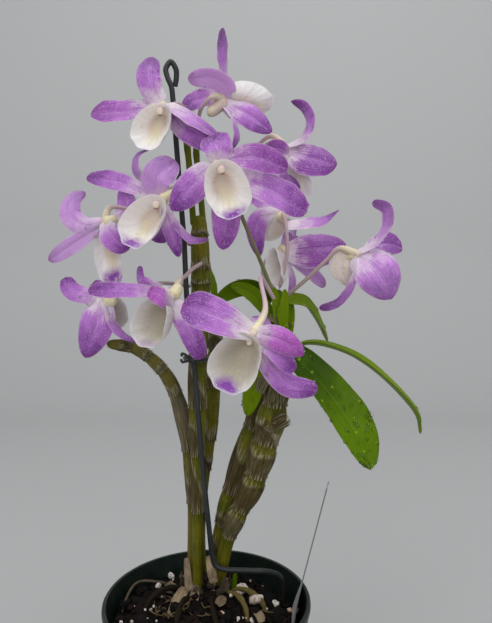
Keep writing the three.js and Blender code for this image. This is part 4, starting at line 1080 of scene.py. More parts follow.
def stalk_material():
    """Stalk, ovary and spur: pinkish white or brown by the bloom's tone, green-cream at the ovary."""

    def build(graph):
        along, _ = graph.shape()
        fibres = graph.group("fibres", Along=6.0, Across=14.0)
        shade = graph.mix(graph.value("tone"), srgb(210, 180, 188), srgb(104, 88, 36))
        fresh = graph.times(graph.value("tone"), graph.span(along, 0.05, 0.6, 1.0, 0.0), clamp=True)
        shade = graph.tinted(shade, [
            (fresh, 1, srgb(94, 116, 14)),
            (graph.span(along, 0.6, 0.9, 0.0, 0.85), 1, srgb(230, 220, 182)),
            (fibres, 0.3, srgb(190, 160, 168)),
        ])
        spur = graph.mix(graph.times(fibres, 0.35), srgb(238, 228, 192), srgb(222, 206, 150))
        shade = graph.mix(graph.span(graph.value("tone"), 0.0, -1.0), shade, spur)
        return {"Base_Color": shade, "Normal": graph.bump(fibres, 0.3, 0.0002)}

    return material("stalk", build, Roughness=0.5, Subsurface_Weight=0.1, Subsurface_Radius=(0.001, 0.0008, 0.0006))


def water_material():
    """Clear drops of water."""
    return material(
        "water", lambda graph: {}, Base_Color=(1, 1, 1, 1), Roughness=0.02, IOR=1.33, Transmission_Weight=1.0
    )


def make_bloom(name, bloom, materials, look, random):
    """One bloom: blades, lip, column and cap, spur, joint and stalk in one piece, with drops on the front faces."""
    _, lip_kind, column, stalk, water, shaded = range(6)
    piece = Piece(name + "_flower", *materials)
    joint, face = front(*bloom["at"]), unit(bloom["face"])
    surfaces = [tepal(piece, *shape, any_phase(random)) for shape in bloom["blades"]]
    kind = shaded if name in SHADED_BLOOMS else lip_kind
    inner, throat, cap = lip(piece, joint, bloom["lip"], face, kind, bloom["spot"], any_phase(random))
    surfaces.append(inner)
    lip_tip = front(*bloom["lip"][1]) - joint
    down = unit(lip_tip - face * (face @ lip_tip))
    middle = (joint + throat) / 2
    if name not in OPEN_BLOOMS:
        cap = middle + 0.5 * face
    thicken = lambda u: COLUMN.radius * (1.2 - 0.25 * np.sin(PI * u)) * rounded(u, 0.2)
    tube(piece, [joint, middle, cap], thicken, 20, 16, column)
    lump(piece, cap, COLUMN.cap, 13, 18, power=0.9, rough=0.07, kind=column)
    if name in OPEN_BLOOMS:
        # A dark lump under the cap: painted shade for the hollow there.
        mouth = cap + COLUMN.mouth_drop * down
        lump(piece, mouth, COLUMN.mouth, 9, 14, power=0.9, rough=0.05, kind=column, tone=1.0)
    *place, wide, spur_tone = bloom["spur"]
    spur = front(*place)
    narrow = lambda u: wide * (1 - 0.35 * u) * rounded(u, 0.3)
    tube(piece, [joint, (joint + spur) / 2 + 0.3 * down, spur], narrow, 22, 20, stalk, spur_tone)
    lump(piece, joint, [JOINT_RADIUS] * 3, 11, 18, kind=stalk, tone=-0.5)
    swell = lambda u: (STALK.radius + (STALK.ovary - STALK.radius) * smooth((u - 0.6) / 0.4)) * rounded(u, 0.03)
    ribs = lambda u, angle: STALK.ribs * np.cos(3 * angle) * smooth((u - 0.5) / 0.3)
    tube(piece, [*bloom["stalk"], joint], swell, 48, 14, stalk, bloom["stalk_tone"], ribs)
    for surface in surfaces:
        scatter_beads(piece, surface, look.drops, DROPS.bloom, water, random)
    piece.make("bloom", name)


class ORCHID_OT_canes(bpy.types.Operator):
    """Make the five canes with their joints, dry sheaths and flowering stalks"""

    bl_idname = "orchid.canes"
    bl_label = "Canes"

    def execute(self, context):
        look = context.scene.orchid_plant
        materials = (cane_material(look), sheath_material(look), leaf_material(look), husk_material())
        for index, (name, shape) in enumerate(CANES.items()):
            make_cane(name, shape, materials, np.random.default_rng(index + SEEDS.cane))
        return {"FINISHED"}


def cane_material(look):
    """A cane's skin: olive with brown and yellow streaks along it, drier by its tone (fresh green below 0)."""

    def build(graph):
        along, _ = graph.shape()
        share = graph.math("FRACT", along)
        streaks = graph.group("fibres", Along=1.6, Across=20.0)
        fine = graph.group("fibres", Along=9.0, Across=80.0)
        mottle = graph.group("mottle", Scale=150.0)
        patches = graph.group("mottle", Scale=75.0)
        tone = graph.value("tone")
        shade = graph.mix(streaks, look.cane, srgb(72, 72, 0))
        shade = graph.tinted(shade, [
            (mottle, 0.35, srgb(112, 84, 20)),
            (patches, 0.35, srgb(150, 146, 20)),
            (fine, 0.25, srgb(56, 52, 0)),
            (graph.span(fine, 0.7, 1.0, 0.0, 0.35), 1, srgb(160, 166, 104)),
            (graph.span(tone, 0.0, -1.0), 1, srgb(98, 126, 12)),
        ])
        dry = graph.times(graph.span(tone, 0.0, 1.0), graph.times(fine, 0.7, 0.3))
        shade = graph.tinted(shade, [
            (dry, 0.7, look.sheath),
            (graph.span(share, 0.0, 0.03, 0.8, 0.0), 1, srgb(170, 156, 84)),
            (graph.span(share, 0.75, 1.0, 0.0, 0.5), 1, srgb(60, 62, 0)),
        ])
        return {"Base_Color": shade, "Roughness": graph.span(fine, 0.0, 1.0, 0.34, 0.55),
                "Normal": graph.bump(graph.math("ADD", fine, streaks), 0.5, 0.0004)}

    return material("cane_skin", build, Specular_IOR_Level=0.16)


def sheath_material(look):
    """A dry sheath: brown to grey paper by its tone, with pale fibres along it that stand out as a fringe at its
    foot. Back is how much paper is left: it tears along the fibres where that falls to 0."""

    def build(graph):
        along, _ = graph.shape()
        fibres = graph.group("fibres", Along=1.6, Across=36.0)
        fine = graph.group("fibres", Along=4.0, Across=120.0)
        mottle = graph.group("mottle", Scale=150.0)
        left, tone = graph.value("back"), graph.value("tone")
        paper = graph.mix(tone, srgb(92, 70, 30), look.sheath)
        paper = graph.mix(graph.times(mottle, 0.5), paper, srgb(88, 82, 12))
        paper = graph.mix(graph.span(tone, 0.7, 1.0, 0.0, 0.6), paper, srgb(176, 162, 136))
        foot = graph.span(along, 0.03, 0.2, 1.0, 0.0)
        fringe = graph.times(foot, graph.span(tone, 0.0, 0.6, 0.3, 1.0))
        pale = graph.times(graph.span(fibres, 0.45, 0.9), graph.times(tone, 0.4, fringe), clamp=True)
        shade = graph.mix(pale, paper, look.fibre)
        shade = graph.mix(graph.times(fine, 0.55), shade, srgb(70, 58, 18))
        gaps = graph.times(graph.span(fibres, 0.5, 0.15), foot)
        shade = graph.mix(graph.times(gaps, 0.6), shade, srgb(64, 58, 10))
        edge = graph.span(left, 0.0, 0.12, 0.7, 0.0)
        shade = graph.mix(edge, shade, look.fibre)
        torn = graph.times(fibres, 0.4, graph.math("ADD", left, -0.16))
        frayed = graph.math("ADD", along, graph.times(fibres, 0.12, -0.075))
        alpha = graph.times(graph.span(torn, 0.0, 0.05), graph.span(frayed, 0.0, 0.012))
        return {"Base_Color": shade, "Alpha": alpha, "Normal": graph.bump(graph.math("ADD", fibres, fine), 0.9, 0.0006)}

    return material("sheath_paper", build, Roughness=0.7, Specular_IOR_Level=0.25)


def cane_at(path, u):
    """The middle and the width of a cane at shares of its path."""
    return through(path[:, :3], u), np.interp(u, np.linspace(0, 1, len(path)), path[:, 3])


def make_cane(name, shape, materials, random):
    """One cane: a body that swells between its joints, pinches above each and has a ridge under it, and a papery
    sheath on each span that has one."""
    piece = Piece(name + "_stem", *materials)
    path = np.array(shape["path"], float)
    path[:, 3] *= CANE.slim
    ends = np.array([0, *shape["nodes"], 1])
    last = len(ends) - 2
    u, angle = np.linspace(0, 1, 30 * (last + 1) + 1), around(32)
    centre, width = cane_at(path, u)
    k = np.clip(np.searchsorted(ends, u, side="right") - 1, 0, last)
    share = (u - ends[k]) / (ends[k + 1] - ends[k])
    height, reach = CANE.ridge
    body = width / 2 * (1 + shape["swell"] * np.sin(PI * share) - CANE.pinch * np.clip(1 - 9 * share, 0, 1))
    body = (body + height * np.exp(-(((1 - share) / reach) ** 2))) * closing(u, 0.03)
    ribs = CANE.ribs[0] * np.cos(9 * angle + 3 * u[:, None]) + CANE.ribs[1] * np.cos(5 * angle - 8 * u[:, None])
    body = body[:, None] + ribs * smooth(np.minimum(u, 1 - u) * 40)[:, None]
    rings = centre[:, None] + spokes_along(centre, angle, EAST) * body[..., None]
    marks = np.concatenate([[0], k + np.clip(share, 0.001, 0.999), [last + 0.999]])[:, None]
    leafy = name == "cane_leafy"
    piece.grid(pointed(rings), marks, angle / TURN, 0, np.where(leafy & (marks > last), -1.0, shape["dry"]))
    for low, high, sheath in zip(ends, ends[1:], shape["sheaths"]):
        add_sheath(piece, path, low, high, shape["swell"], sheath, random)
    if leafy:
        for torn in FLAPS:
            flap(piece, *torn)
        for base in LEAF_BASES:
            flap(piece, *base, kind=2, form="leaf")
    if name == "cane_tall":
        for spike in SPIKES:
            joints = lambda u: SPIKE_RADIUS * (1 + 0.12 * np.abs(np.cos(PI * 3 * u)) ** 8) * rounded(u, 0.04)
            tube(piece, spike, joints, 60, 16, 0, -0.4)
    if name == "cane_slender":
        blade(piece, *TIP_LEAF, "leaf", 2, 0.6)
    piece.make("cane", name)


def flap(piece, width, tone, places, kind=1, form="torn"):
    """A flap of sheath, husk or leaf base through places in the camera's frame, facing front. Paper, which is kind
    1, is marked from its free end, where it frays."""
    path, paper = course(places, 26), kind == 1
    marks = 0.35 * (1 - path[0]) if paper else 0.5 + 0.5 * path[0]
    strip(piece, path, FACING["flap"], width, 0.0, FORMS[form], 7 * width, 13, kind, tone, marks, paper)


def add_sheath(piece, path, low, high, swell, look, random):
    """A papery sheath from one joint up: two skins that follow the cane, with a flared foot. Its back value is how
    much paper is left at each point, which falls to 0 at its reach and sooner on one side. The lowest span has
    none, and where it is given a reach it only takes its draw."""
    reach, uneven, pale = look
    if not reach:
        return
    phase = any_phase(random)
    if not low:
        return
    v, angle = np.linspace(0, 1, 30), around(56)
    u = np.clip(low + (high - low) * (1.02 * v - 0.05), 0.002, 0.998)
    centre, width = cane_at(path, u)
    share = np.clip((u - low) / (high - low), 0, 1)
    flare, foot = SHEATH.flare
    skin = width / 2 * (1 + swell * np.sin(PI * share) + SHEATH.slack) + flare * np.exp(-((v / foot) ** 2))
    skin = (skin + SHEATH.belly * np.sin(PI * np.clip(v / reach, 0, 1)))[:, None]
    broad, middling, fine = SHEATH.creases
    skin = skin + broad * np.cos(13 * angle + phase) + fine * np.cos(23 * angle - phase)
    skin = skin + middling * np.cos(7 * angle - 5 * v[:, None]) * v[:, None]
    spokes = spokes_along(centre, angle, EAST)
    outer, inner = (centre[:, None] + spokes * (skin - depth)[..., None] for depth in (0, SHEATH.thick))
    rings = np.concatenate([outer, inner[::-1], outer[:1]])
    marks = np.concatenate([v, v[::-1], v[:1]])[:, None]
    left = reach - marks - uneven * reach * (0.5 + 0.5 * np.cos(angle - PI / 2))
    piece.grid(rings, marks, angle / TURN, 1, pale, left - SHEATH.ragged * np.cos(2 * angle + phase))


class ORCHID_OT_leaves(bpy.types.Operator):
    """Make the seven leaves, with drops of water"""

    bl_idname = "orchid.leaves"
    bl_label = "Leaves"

    def execute(self, context):
        materials = (leaf_material(context.scene.orchid_plant), water_material())
        for index, (name, (width, roll, tone, places)) in enumerate(LEAVES.items()):
            random = np.random.default_rng(index + SEEDS.leaf)
            piece, form, phase = Piece(name + "_blade", *materials), FORMS["leaf"], 5 * random.random()
            surface = strip(piece, course(places, 64), FACING["leaf"], width, roll, form, phase, 27, 0, tone)
            drops = DROPS.broad_leaf if name == "leaf_broad" else DROPS.other_leaf
            scatter_beads(piece, surface, drops, DROPS.leaf, 1, random)
            piece.make("leaf", name)
        return {"FINISHED"}


def leaf_material(look):
    """A leaf: glossy green, darker towards its base as painted shade, yellower and lighter by its tone (in part painted
    light), with fine darker veins, a paler back and midrib, and dots of dew lightened as painted highlights.
    """

    def build(graph):
        along, across = graph.shape()
        veins = graph.group("veins", Count=22.0)
        mottle = graph.group("mottle", Scale=90.0)
        off = graph.off_middle(across)
        dew_and_glint = graph.group("dew_and_glint", Scale=520.0)
        # Painted shade: darker towards the base, where the leaf lies in shadow.
        shade = graph.mix(graph.span(along, 0.05, 0.8), srgb(30, 60, 2), look.leaf)
        shade = graph.tinted(shade, [
            (mottle, 0.4, srgb(96, 132, 6)),
            # Tone: a yellower, lighter green; on leaf_under that lightness is painted light for light shining through.
            (graph.value("tone"), 0.8, srgb(120, 146, 6)),
            (veins, 0.22, srgb(44, 78, 4)),
            (graph.span(off, 0.0, 0.02, 0.18, 0.0), 1, srgb(124, 154, 24)),
            (graph.value("back"), 0.5, srgb(108, 136, 20)),
            # Painted highlights: dots of dew made lighter, for glints on the drops.
            (dew_and_glint, 0.5, srgb(146, 180, 48)),
        ])
        relief = graph.times(dew_and_glint, 2.0, veins)
        return {"Base_Color": shade, "Roughness": graph.span(mottle, 0.0, 1.0, 0.24, 0.38),
                "Normal": graph.bump(relief, 0.5, 0.0002)}

    return material(
        "leaf_green", build, Specular_IOR_Level=0.08, Subsurface_Weight=0.06, Subsurface_Radius=(0.0006, 0.0012, 0.0002)
    )


class ORCHID_OT_crown(bpy.types.Operator):
    """Make the crown, its roots, the new shoot and the dry husks round the canes' feet"""

    bl_idname = "orchid.crown"
    bl_label = "Crown and roots"

    def execute(self, context):
        look = context.scene.orchid_plant
        piece = Piece("crown_and_roots", root_material(look), husk_material(), leaf_material(look))
        random = np.random.default_rng(SEEDS.crown)
        for *at, radius in CROWN:
            turn = any_phase(random)
            lump(piece, at, [radius] * 3, 15, 24, (0, 0, turn), 0.9, 0.08, 1, phase=turn)
        tube(piece, np.array(CROWN)[:, :3], lambda u: 2.2 * rounded(u, 0.05), 50, 16, 1)
        for path in ROOTS:
            phase, soiled = any_phase(random), float(path[-1][0] < 10)
            knots = lambda u, angle: 0.1 * np.cos(2 * angle + 9 * u + phase) + 0.08 * np.cos(23 * u + phase)
            tube(piece, path, lambda u: (1.0 - 0.35 * u) * rounded(u, 0.05), 60, 14, 0, soiled, knots)
        tube(piece, NEW_SHOOT, lambda u: (1.6 - 1.1 * u) * rounded(u, 0.06), 40, 16, 2)
        for husk in FOOT_HUSKS:
            flap(piece, *husk)
        for x, y, z, radius in CROWN:
            for i in range(4):
                turn = TURN * (i + random.random()) / 4
                out = np.array([math.cos(turn), math.sin(turn), 0])
                foot = np.array([x, y, z + 1]) + out * radius * 0.7
                rise = np.array([0, 0, 4 + 3 * random.random()])
                shape = (*(rise * 0.5 + out * 0.4), *(rise + out * (0.2 + random.random())), 3.4)
                blade(piece, foot, shape, out, "bract", 1, 0.3 * (i % 2), turn, 18, 9)
        piece.make("root", "rhizome_and_roots")
        return {"FINISHED"}


def root_material(look):
    """Roots: green and grey velamen with brown patches."""

    def build(graph):
        fibres = graph.group("fibres", Along=9.0, Across=10.0)
        mottle = graph.group("mottle", Scale=300.0)
        shade = graph.mix(mottle, look.root, srgb(96, 78, 44))
        shade = graph.tinted(shade, [
            (fibres, 0.4, srgb(130, 120, 76)),
            (graph.value("tone"), 0.95, srgb(22, 14, 10)),
        ])
        return {"Base_Color": shade, "Normal": graph.bump(fibres, 0.5, 0.0004)}

    return material("root_skin", build, Roughness=0.8, Specular_IOR_Level=0.15)


def husk_material():
    """Dry husk and old sheath: tan and brown with fibres."""

    def build(graph):
        fibres = graph.group("fibres", Along=3.0, Across=40.0)
        mottle = graph.group("mottle", Scale=280.0)
        shade = graph.mix(mottle, srgb(112, 88, 62), srgb(176, 150, 118))
        shade = graph.tinted(shade, [
            (fibres, 0.5, srgb(200, 184, 156)),
            (graph.span(graph.value("tone"), 1.0, 0.0, 0.0, 0.85), 1, srgb(40, 26, 18)),
        ])
        return {"Base_Color": shade, "Normal": graph.bump(fibres, 0.6, 0.0004)}

    return material("husk", build, Roughness=0.8)


# ---------- pot, mix, stake, tie and label ----------


def mix_height(x, y):
    """The mix's top: low lumps, a slope to the right and a mound round the canes' feet."""
    lumps = np.sin(x * 0.55 + 1) * np.cos(y * 0.5) + 0.6 * np.sin(x * 0.21 - y * 0.93)
    away = np.hypot(x - MOUND.at[0], y - MOUND.at[1]) / MOUND.spread
    return MIX.level + MIX.lumps * lumps + MIX.slope * x + MOUND.height * np.exp(-away * away)


def on_mix(across, down):
    """The place (x, y) on the mix that the camera sees at a place of its frame."""
    z = MIX.level
    for _ in range(6):
        reach = (CAMERA.at[2] - z) / math.tan(view_drop(down))
        x, y, _ = front(across, down, reach + CAMERA.at[1])
        z = mix_height(x, y) + 1
    return x, y


def wall_at(z):
    """The pot's outer radius at a height, without its collar."""
    return POT.base + (POT.rim - COLLAR.step - POT.base) * z / (POT.height - COLLAR.height)


class ORCHID_OT_pot(bpy.types.Operator):
    """Make the pot: a tapered wall with a collar under the rim and drain holes in its floor"""

    bl_idname = "orchid.pot"
    bl_label = "Pot"

    def execute(self, context):
        look = context.scene.orchid_pot
        base, rim, height, wall, floor = POT.base, POT.rim, POT.height, POT.wall, POT.floor
        low = height - COLLAR.height
        inner = wall_at(low) - wall
        outline = np.array([
            (0, 0), (base - 1, 0), (base - 0.3, 0.3), (base, 1), (wall_at(low - 0.4), low - 0.4),
            (rim - 1.3, low - 0.1), (rim - 1.1, low + 0.4), (rim - 0.6, height - 2.2), (rim - 0.1, height - 1.8),
            (rim, height - 1.2), (rim - 0.05, height - 0.4), (rim - 0.3, height - 0.05), (rim - 0.7, height),
            (rim - wall + 0.1, height - 0.1), (rim - wall, height - 0.5), (rim - wall - 0.5, low + 1.6),
            (inner, low - 0.6), (wall_at(floor) - wall, floor), (0, floor),
        ])
        angle = around(look.sides)
        radius, z = outline[:, 0, None], outline[:, 1, None]
        rings = np.stack(np.broadcast_arrays(radius * np.cos(angle), radius * np.sin(angle), z), -1)
        piece = Piece("nursery_pot", pot_material(look))
        piece.grid(rings, z / height, angle / TURN)
        drill(piece.make("pot_plastic", "pot", sharp=35))
        return {"FINISHED"}


def drill(made):
    """Cuts the drain holes through the pot's floor with one Boolean and keeps its result."""
    cutter = Piece("drain_cutter")
    for i in range(DRAIN.count):
        turn = TURN * i / DRAIN.count + DRAIN.turn
        x, y = DRAIN.circle * math.cos(turn), DRAIN.circle * math.sin(turn)
        tube(cutter, [(x, y, DRAIN.below), (x, y, DRAIN.above)], lambda u: DRAIN.radius, 2, 32)
    tool = cutter.make("pot_plastic")
    cut = made.modifiers.new("drains", "BOOLEAN")
    cut.operation, cut.solver, cut.object = "DIFFERENCE", "EXACT", tool
    graph = bpy.context.evaluated_depsgraph_get()
    mesh = bpy.data.meshes.new_from_object(made.evaluated_get(graph))
    made.modifiers.clear()
    made.data = mesh
    bpy.data.objects.remove(tool)


def pot_material(look):
    """Dark green-black plastic with a soft gloss, faint scuffs and a little dust."""

    def build(graph):
        scuffs = graph.noise(graph.place(), 240.0, 6.0, 0.7)
        dust = graph.group("mottle", Scale=60.0)
        shade = graph.mix(graph.span(scuffs, 0.5, 0.8, 0.0, 0.4), look.pot, srgb(20, 40, 31))
        shade = graph.mix(graph.times(dust, 0.06), shade, srgb(60, 70, 62))
        return {"Base_Color": shade, "Roughness": graph.span(scuffs, 0.3, 0.7, 0.34, 0.55),
                "Normal": graph.bump(scuffs, 0.1, 0.0003)}

    return material("nursery_plastic", build)


class ORCHID_OT_mix(bpy.types.Operator):
    """Make the potting mix: a dark bed with chips of bark, perlite, husk, moss and fine roots"""

    bl_idname = "orchid.mix"
    bl_label = "Potting mix"

    def execute(self, context):
        look = context.scene.orchid_pot
        random = np.random.default_rng(SEEDS.mix)
        piece = Piece("potting_bed", bark_material(look), perlite_material(), husk_material(), moss_material())
        add_bed(piece)
        for _ in range(look.chips):
            x, y, _ = within(LITTER.chips, random)
            size = (0.5 + 2.0 * random.random() ** 2) * np.array([1.2, 0.8, 0.45]) * (0.7 + 0.6 * random.random(3))
            at = (x, y, mix_height(x, y) + 0.1 + 0.5 * random.random())
            turns = (random.random() - 0.5, random.random() - 0.5, 6.3 * random.random())
            lump(piece, at, size, 6, 8, turns, 0.55, 0.12, 0, random.random(), any_phase(random))
        for across, down, size, stain in PERLITE:
            x, y = on_mix(across, down)
            at = (x, y, mix_height(x, y) + 0.8 * size)
            sizes = size * np.array([1.0, 0.85, 0.7]) * (0.85 + 0.3 * random.random(3))
            lump(piece, at, sizes, 10, 14, 6 * random.random(3), 0.7, 0.14, 1, stain, any_phase(random))
        for _ in range(LITTER.grains):
            x, y, turn = within(LITTER.grit, random)
            size = 0.25 + 0.4 * random.random()
            lump(piece, (x, y, mix_height(x, y) + 0.7), [size] * 3, 5, 7, power=0.8, rough=0.15, kind=1, phase=turn)
        add_litter(piece, random)
        piece.make("bark_mix", "potting_mix")
        return {"FINISHED"}


def within(reach, random):
    """A random place, spread evenly over a round area, and its angle."""
    out, turn = reach * math.sqrt(random.random()), TURN * random.random()
    return out * math.cos(turn), out * math.sin(turn), turn


def add_bed(piece):
    """The bed: a lumpy top, a wall just inside the pot and a flat bottom, as rings from the top's centre."""
    floor, shoulder = POT.floor + 0.3, POT.height - COLLAR.height - 1
    wide, foot = (wall_at(z) - POT.wall - MIX.gap for z in (shoulder, floor))
    angle = around(96)
    radius = np.concatenate([np.linspace(0, wide, 40), [foot, 0]])[:, None]
    x, y = radius * np.cos(angle), radius * np.sin(angle)
    crumbs = 0.45 * np.sin(1.9 * x + 2) * np.sin(2.3 * y) + 0.3 * np.sin(4.1 * x - 3 * y) + 0.2 * np.cos(5.3 * y + x)
    z = mix_height(x, y) + crumbs * np.clip(radius / 3, 0, 1)
    z[-2:] = floor
    piece.grid(np.stack([x, y, z], -1), radius / wide, angle / TURN, 0, 0.3)


def add_litter(piece, random):
    """Husk flakes, curled moss and a thin brown root that lie on the mix."""
    for x, y, long, turn in FLAKES:
        ahead = np.array([math.cos(turn), math.sin(turn), 0.15]) * long
        shape = (*(ahead * 0.5 + (0, 0, 0.8)), *ahead, 2.6)
        blade(piece, (x, y, mix_height(x, y) + 1.6), shape, (0.2, -0.6, 0.8), "bract", 2, 0.7, x, 18, 9)
    for i in range(LITTER.strands):
        if i < LITTER.clumped:
            x, y = LITTER.clump + random.normal(0, LITTER.clump_size, 2)
        else:
            x, y = random.uniform(-LITTER.moss, LITTER.moss, 2)
        turn, long = 6.3 * random.random(), 2 + 4 * random.random()
        ahead = np.outer(np.arange(5), [math.cos(turn), math.sin(turn)]) * long / 4
        steps = np.cumsum(random.normal(0, 0.8, (5, 2)), axis=0) + ahead
        spots = [(x + a, y + b, mix_height(x + a, y + b) + 0.7 + 0.9 * random.random()) for a, b in steps]
        tube(piece, spots, lambda u: 0.16 * rounded(u, 0.2), 18, 5, 3, random.random())
    tube(piece, DRY_ROOT, lambda u: 0.42 * rounded(u, 0.05), 50, 9, 2, 0.3)


def bark_material(look):
    """Bark: near black to reddish brown by its tone, rough, with paler broken grain."""

    def build(graph):
        mottle = graph.group("mottle", Scale=420.0)
        grain = graph.noise(graph.place(), 1400.0, 4.0, 0.7)
        shade = graph.mix(graph.value("tone"), srgb(7, 5, 4), look.bark)
        shade = graph.tinted(shade, [
            (mottle, 0.6, srgb(9, 6, 5)),
            (graph.span(grain, 0.62, 0.85, 0.0, 0.35), 1, srgb(84, 56, 38)),
        ])
        return {"Base_Color": shade, "Normal": graph.bump(graph.math("ADD", grain, mottle), 0.9, 0.0006)}

    return material("bark", build, Roughness=0.85, Specular_IOR_Level=0.2)


def perlite_material():
    """Perlite: chalky white grains with grey pits."""

    def build(graph):
        pits = graph.noise(graph.place(), 1300.0, 3.0, 0.6)
        shade = graph.mix(graph.span(pits, 0.35, 0.6), srgb(178, 160, 144), srgb(238, 232, 226))
        shade = graph.mix(graph.times(graph.value("tone"), 0.7), shade, srgb(206, 166, 134))
        return {"Base_Color": shade, "Normal": graph.bump(pits, 0.8, 0.0005)}

    return material("perlite", build, Roughness=0.8, Subsurface_Weight=0.1, Subsurface_Radius=(0.001, 0.001, 0.001))


def moss_material():
    """Dried moss: straw to tan by its tone."""

    def build(graph):
        shade = graph.mix(graph.value("tone"), srgb(104, 84, 52), srgb(56, 40, 24))
        shade = graph.mix(graph.times(graph.group("mottle", Scale=600.0), 0.3), shade, srgb(150, 134, 92))
        return {"Base_Color": shade}

    return material("moss", build, Roughness=0.9)


class ORCHID_OT_supports(bpy.types.Operator):
    """Make the wire stake, the twist tie and the blank label"""

    bl_idname = "orchid.supports"
    bl_label = "Stake, tie and label"

    def execute(self, context):
        wire = Piece("wire_stake", wire_material())
        tube(wire, STAKE, lambda u: WIRE_RADIUS * rounded(u, 0.004), 420, 16)
        wire.make("wire", "stake")
        tie = Piece("plastic_tie", tie_material())
        add_tie(tie)
        tie.make("tie", "twist_tie")
        label = Piece("blank_label", label_material())
        add_label(label)
        label.make("label", "plant_label", sharp=35)
        return {"FINISHED"}


def wire_material():
    """Coated wire: near black, satin, with worn grey patches, and darker still where it goes down into the pot: soiled
    where it enters the mix and painted shade above that, inside the pot.
    """

    def build(graph):
        wear = graph.group("mottle", Scale=180.0)
        fine = graph.noise(graph.place(), 1500.0, 3.0)
        height = graph.height()
        shade = graph.mix(graph.times(wear, 0.5), srgb(26, 29, 30), srgb(48, 50, 50))
        # Near black below the pot's rim: soil where the wire enters the mix, and painted shade inside the pot above it.
        shade = graph.mix(graph.span(height, 0.0625, 0.0595), shade, srgb(9, 6, 5))
        return {"Base_Color": shade, "Roughness": graph.span(fine, 0.3, 0.7, 0.38, 0.6),
                "Normal": graph.bump(fine, 0.2, 0.0002)}

    return material("wire_coat", build)


def tie_material():
    """Black plastic over a thin wire, wrinkled where it bends."""

    def build(graph):
        wrinkles = graph.noise(graph.place(), 900.0, 3.0)
        shade = graph.mix(wrinkles, srgb(18, 20, 20), srgb(48, 50, 52))
        return {"Base_Color": shade, "Normal": graph.bump(wrinkles, 0.5, 0.0004)}

    return material("tie_plastic", build, Roughness=0.35)


def add_tie(piece):
    """The tie: a taut loop round cane and wire, as two arcs and the lines that touch both, and two curled ends."""
    cane_x, cane_y, cane_r = TIE.cane
    wire_x, wire_y, wire_r = TIE.wire
    aim = math.atan2(wire_y - cane_y, wire_x - cane_x)
    lean = math.acos((cane_r - wire_r) / math.hypot(wire_x - cane_x, wire_y - cane_y))
    far, near = np.linspace(aim + lean, aim - lean + TURN, 60), np.linspace(aim - lean, aim + lean, 24)
    loop = np.concatenate([
        np.stack([x + (r + TIE.clear) * np.cos(arc), y + (r + TIE.clear) * np.sin(arc)], -1)
        for (x, y, r), arc in ((TIE.cane, far), (TIE.wire, near))
    ])
    loop = np.concatenate([loop, loop[:1]])
    ahead = unit(np.gradient(loop, axis=0))
    ahead[0] = ahead[-1] = unit(ahead[0] + ahead[-1])
    turn = around(12)
    out, up = TIE.half[0] * np.cos(turn), TIE.half[1] * np.sin(turn)
    x = loop[:, :1] + ahead[:, 1:] * out
    y = loop[:, 1:] - ahead[:, :1] * out
    rings = np.stack([x, y, TIE.height + up + TIE.sway * np.sin(6 * loop[:, :1])], -1)
    rings[-1] = rings[0]
    piece.grid(rings, np.linspace(0, 1, len(loop))[:, None], turn / TURN)
    start = np.array([wire_x - wire_r - TIE.clear, wire_y - 0.6, TIE.height])
    for path in TIE_ENDS:
        tube(piece, start + path, lambda u: TIE.half[0] * rounded(u, 0.06), 26, 10)


def label_material():
    """Thin pale grey plastic, with painted shade along its two narrow edges."""

    def build(graph):
        haze = graph.group("mottle", Scale=90.0)
        _, across = graph.shape()
        # Painted shade: the two narrow edges, seen almost end on, are darker.
        rim = graph.math("PINGPONG", graph.math("ADD", across, 0.0833), 0.25)
        shade = graph.mix(graph.times(haze, 0.3), srgb(186, 186, 184), srgb(160, 160, 158))
        shade = graph.mix(graph.span(rim, 0.084, 0.09, 1.0, 0.0), shade, srgb(116, 118, 118))
        return {"Base_Color": shade, "Normal": graph.bump(haze, 0.05, 0.0003)}

    return material("label_plastic", build, Roughness=0.4)


def add_label(piece):
    """The label: a thin strip with a pointed foot, which leans and turns a little as it rises."""
    u = np.linspace(0, 1, 60)
    lean = math.radians(LABEL.lean)
    rise, out = np.array([math.sin(lean), 0, math.cos(lean)]), np.array([math.cos(lean), 0, -math.sin(lean)])
    half = LABEL.width / 2 * np.minimum(np.minimum(1, 0.2 + u * 3.5), 0.6 + (1 - u) * 20)
    turn = np.radians(LABEL.turn + LABEL.twist * np.clip(LABEL.untwisted - u, 0, LABEL.twist_span))
    across = np.stack([-np.sin(turn), np.cos(turn), 0 * u], -1)
    at = np.array(LABEL.foot) + u[:, None] * LABEL.length * rise
    corners = [(-1, 1), (0, 1), (1, 1), (1, -1), (0, -1), (-1, -1), (-1, 1)]
    rings = [at + across * (half * side)[:, None] + out * (LABEL.thick / 2 * face) for side, face in corners]
    ends = np.concatenate([[0], u, [1]])[:, None]
    piece.grid(pointed(np.stack(rings, axis=1)), ends, np.linspace(0, 1, len(corners))[None])


# ---------- stage ----------


class ORCHID_OT_stage(bpy.types.Operator):
    """Make the floor and backdrop, the lights and the camera"""

    bl_idname = "orchid.stage"
    bl_label = "Stage"

    def execute(self, context):
        look = context.scene.orchid_stage
        add_backdrop(look)
        world = bpy.data.worlds.new("studio")
        world.use_nodes = True
        sky = world.node_tree.nodes["Background"]
        sky.inputs["Color"].default_value = (*SKY_COLOUR, 1)
        sky.inputs["Strength"].default_value = look.sky
        context.scene.world = world
        context.scene.view_settings.view_transform = "Standard"
        for name, (place, size, power) in LAMPS.items():
            add_lamp(name, place, size, power * look.key)
        add_camera(look)
        return {"FINISHED"}


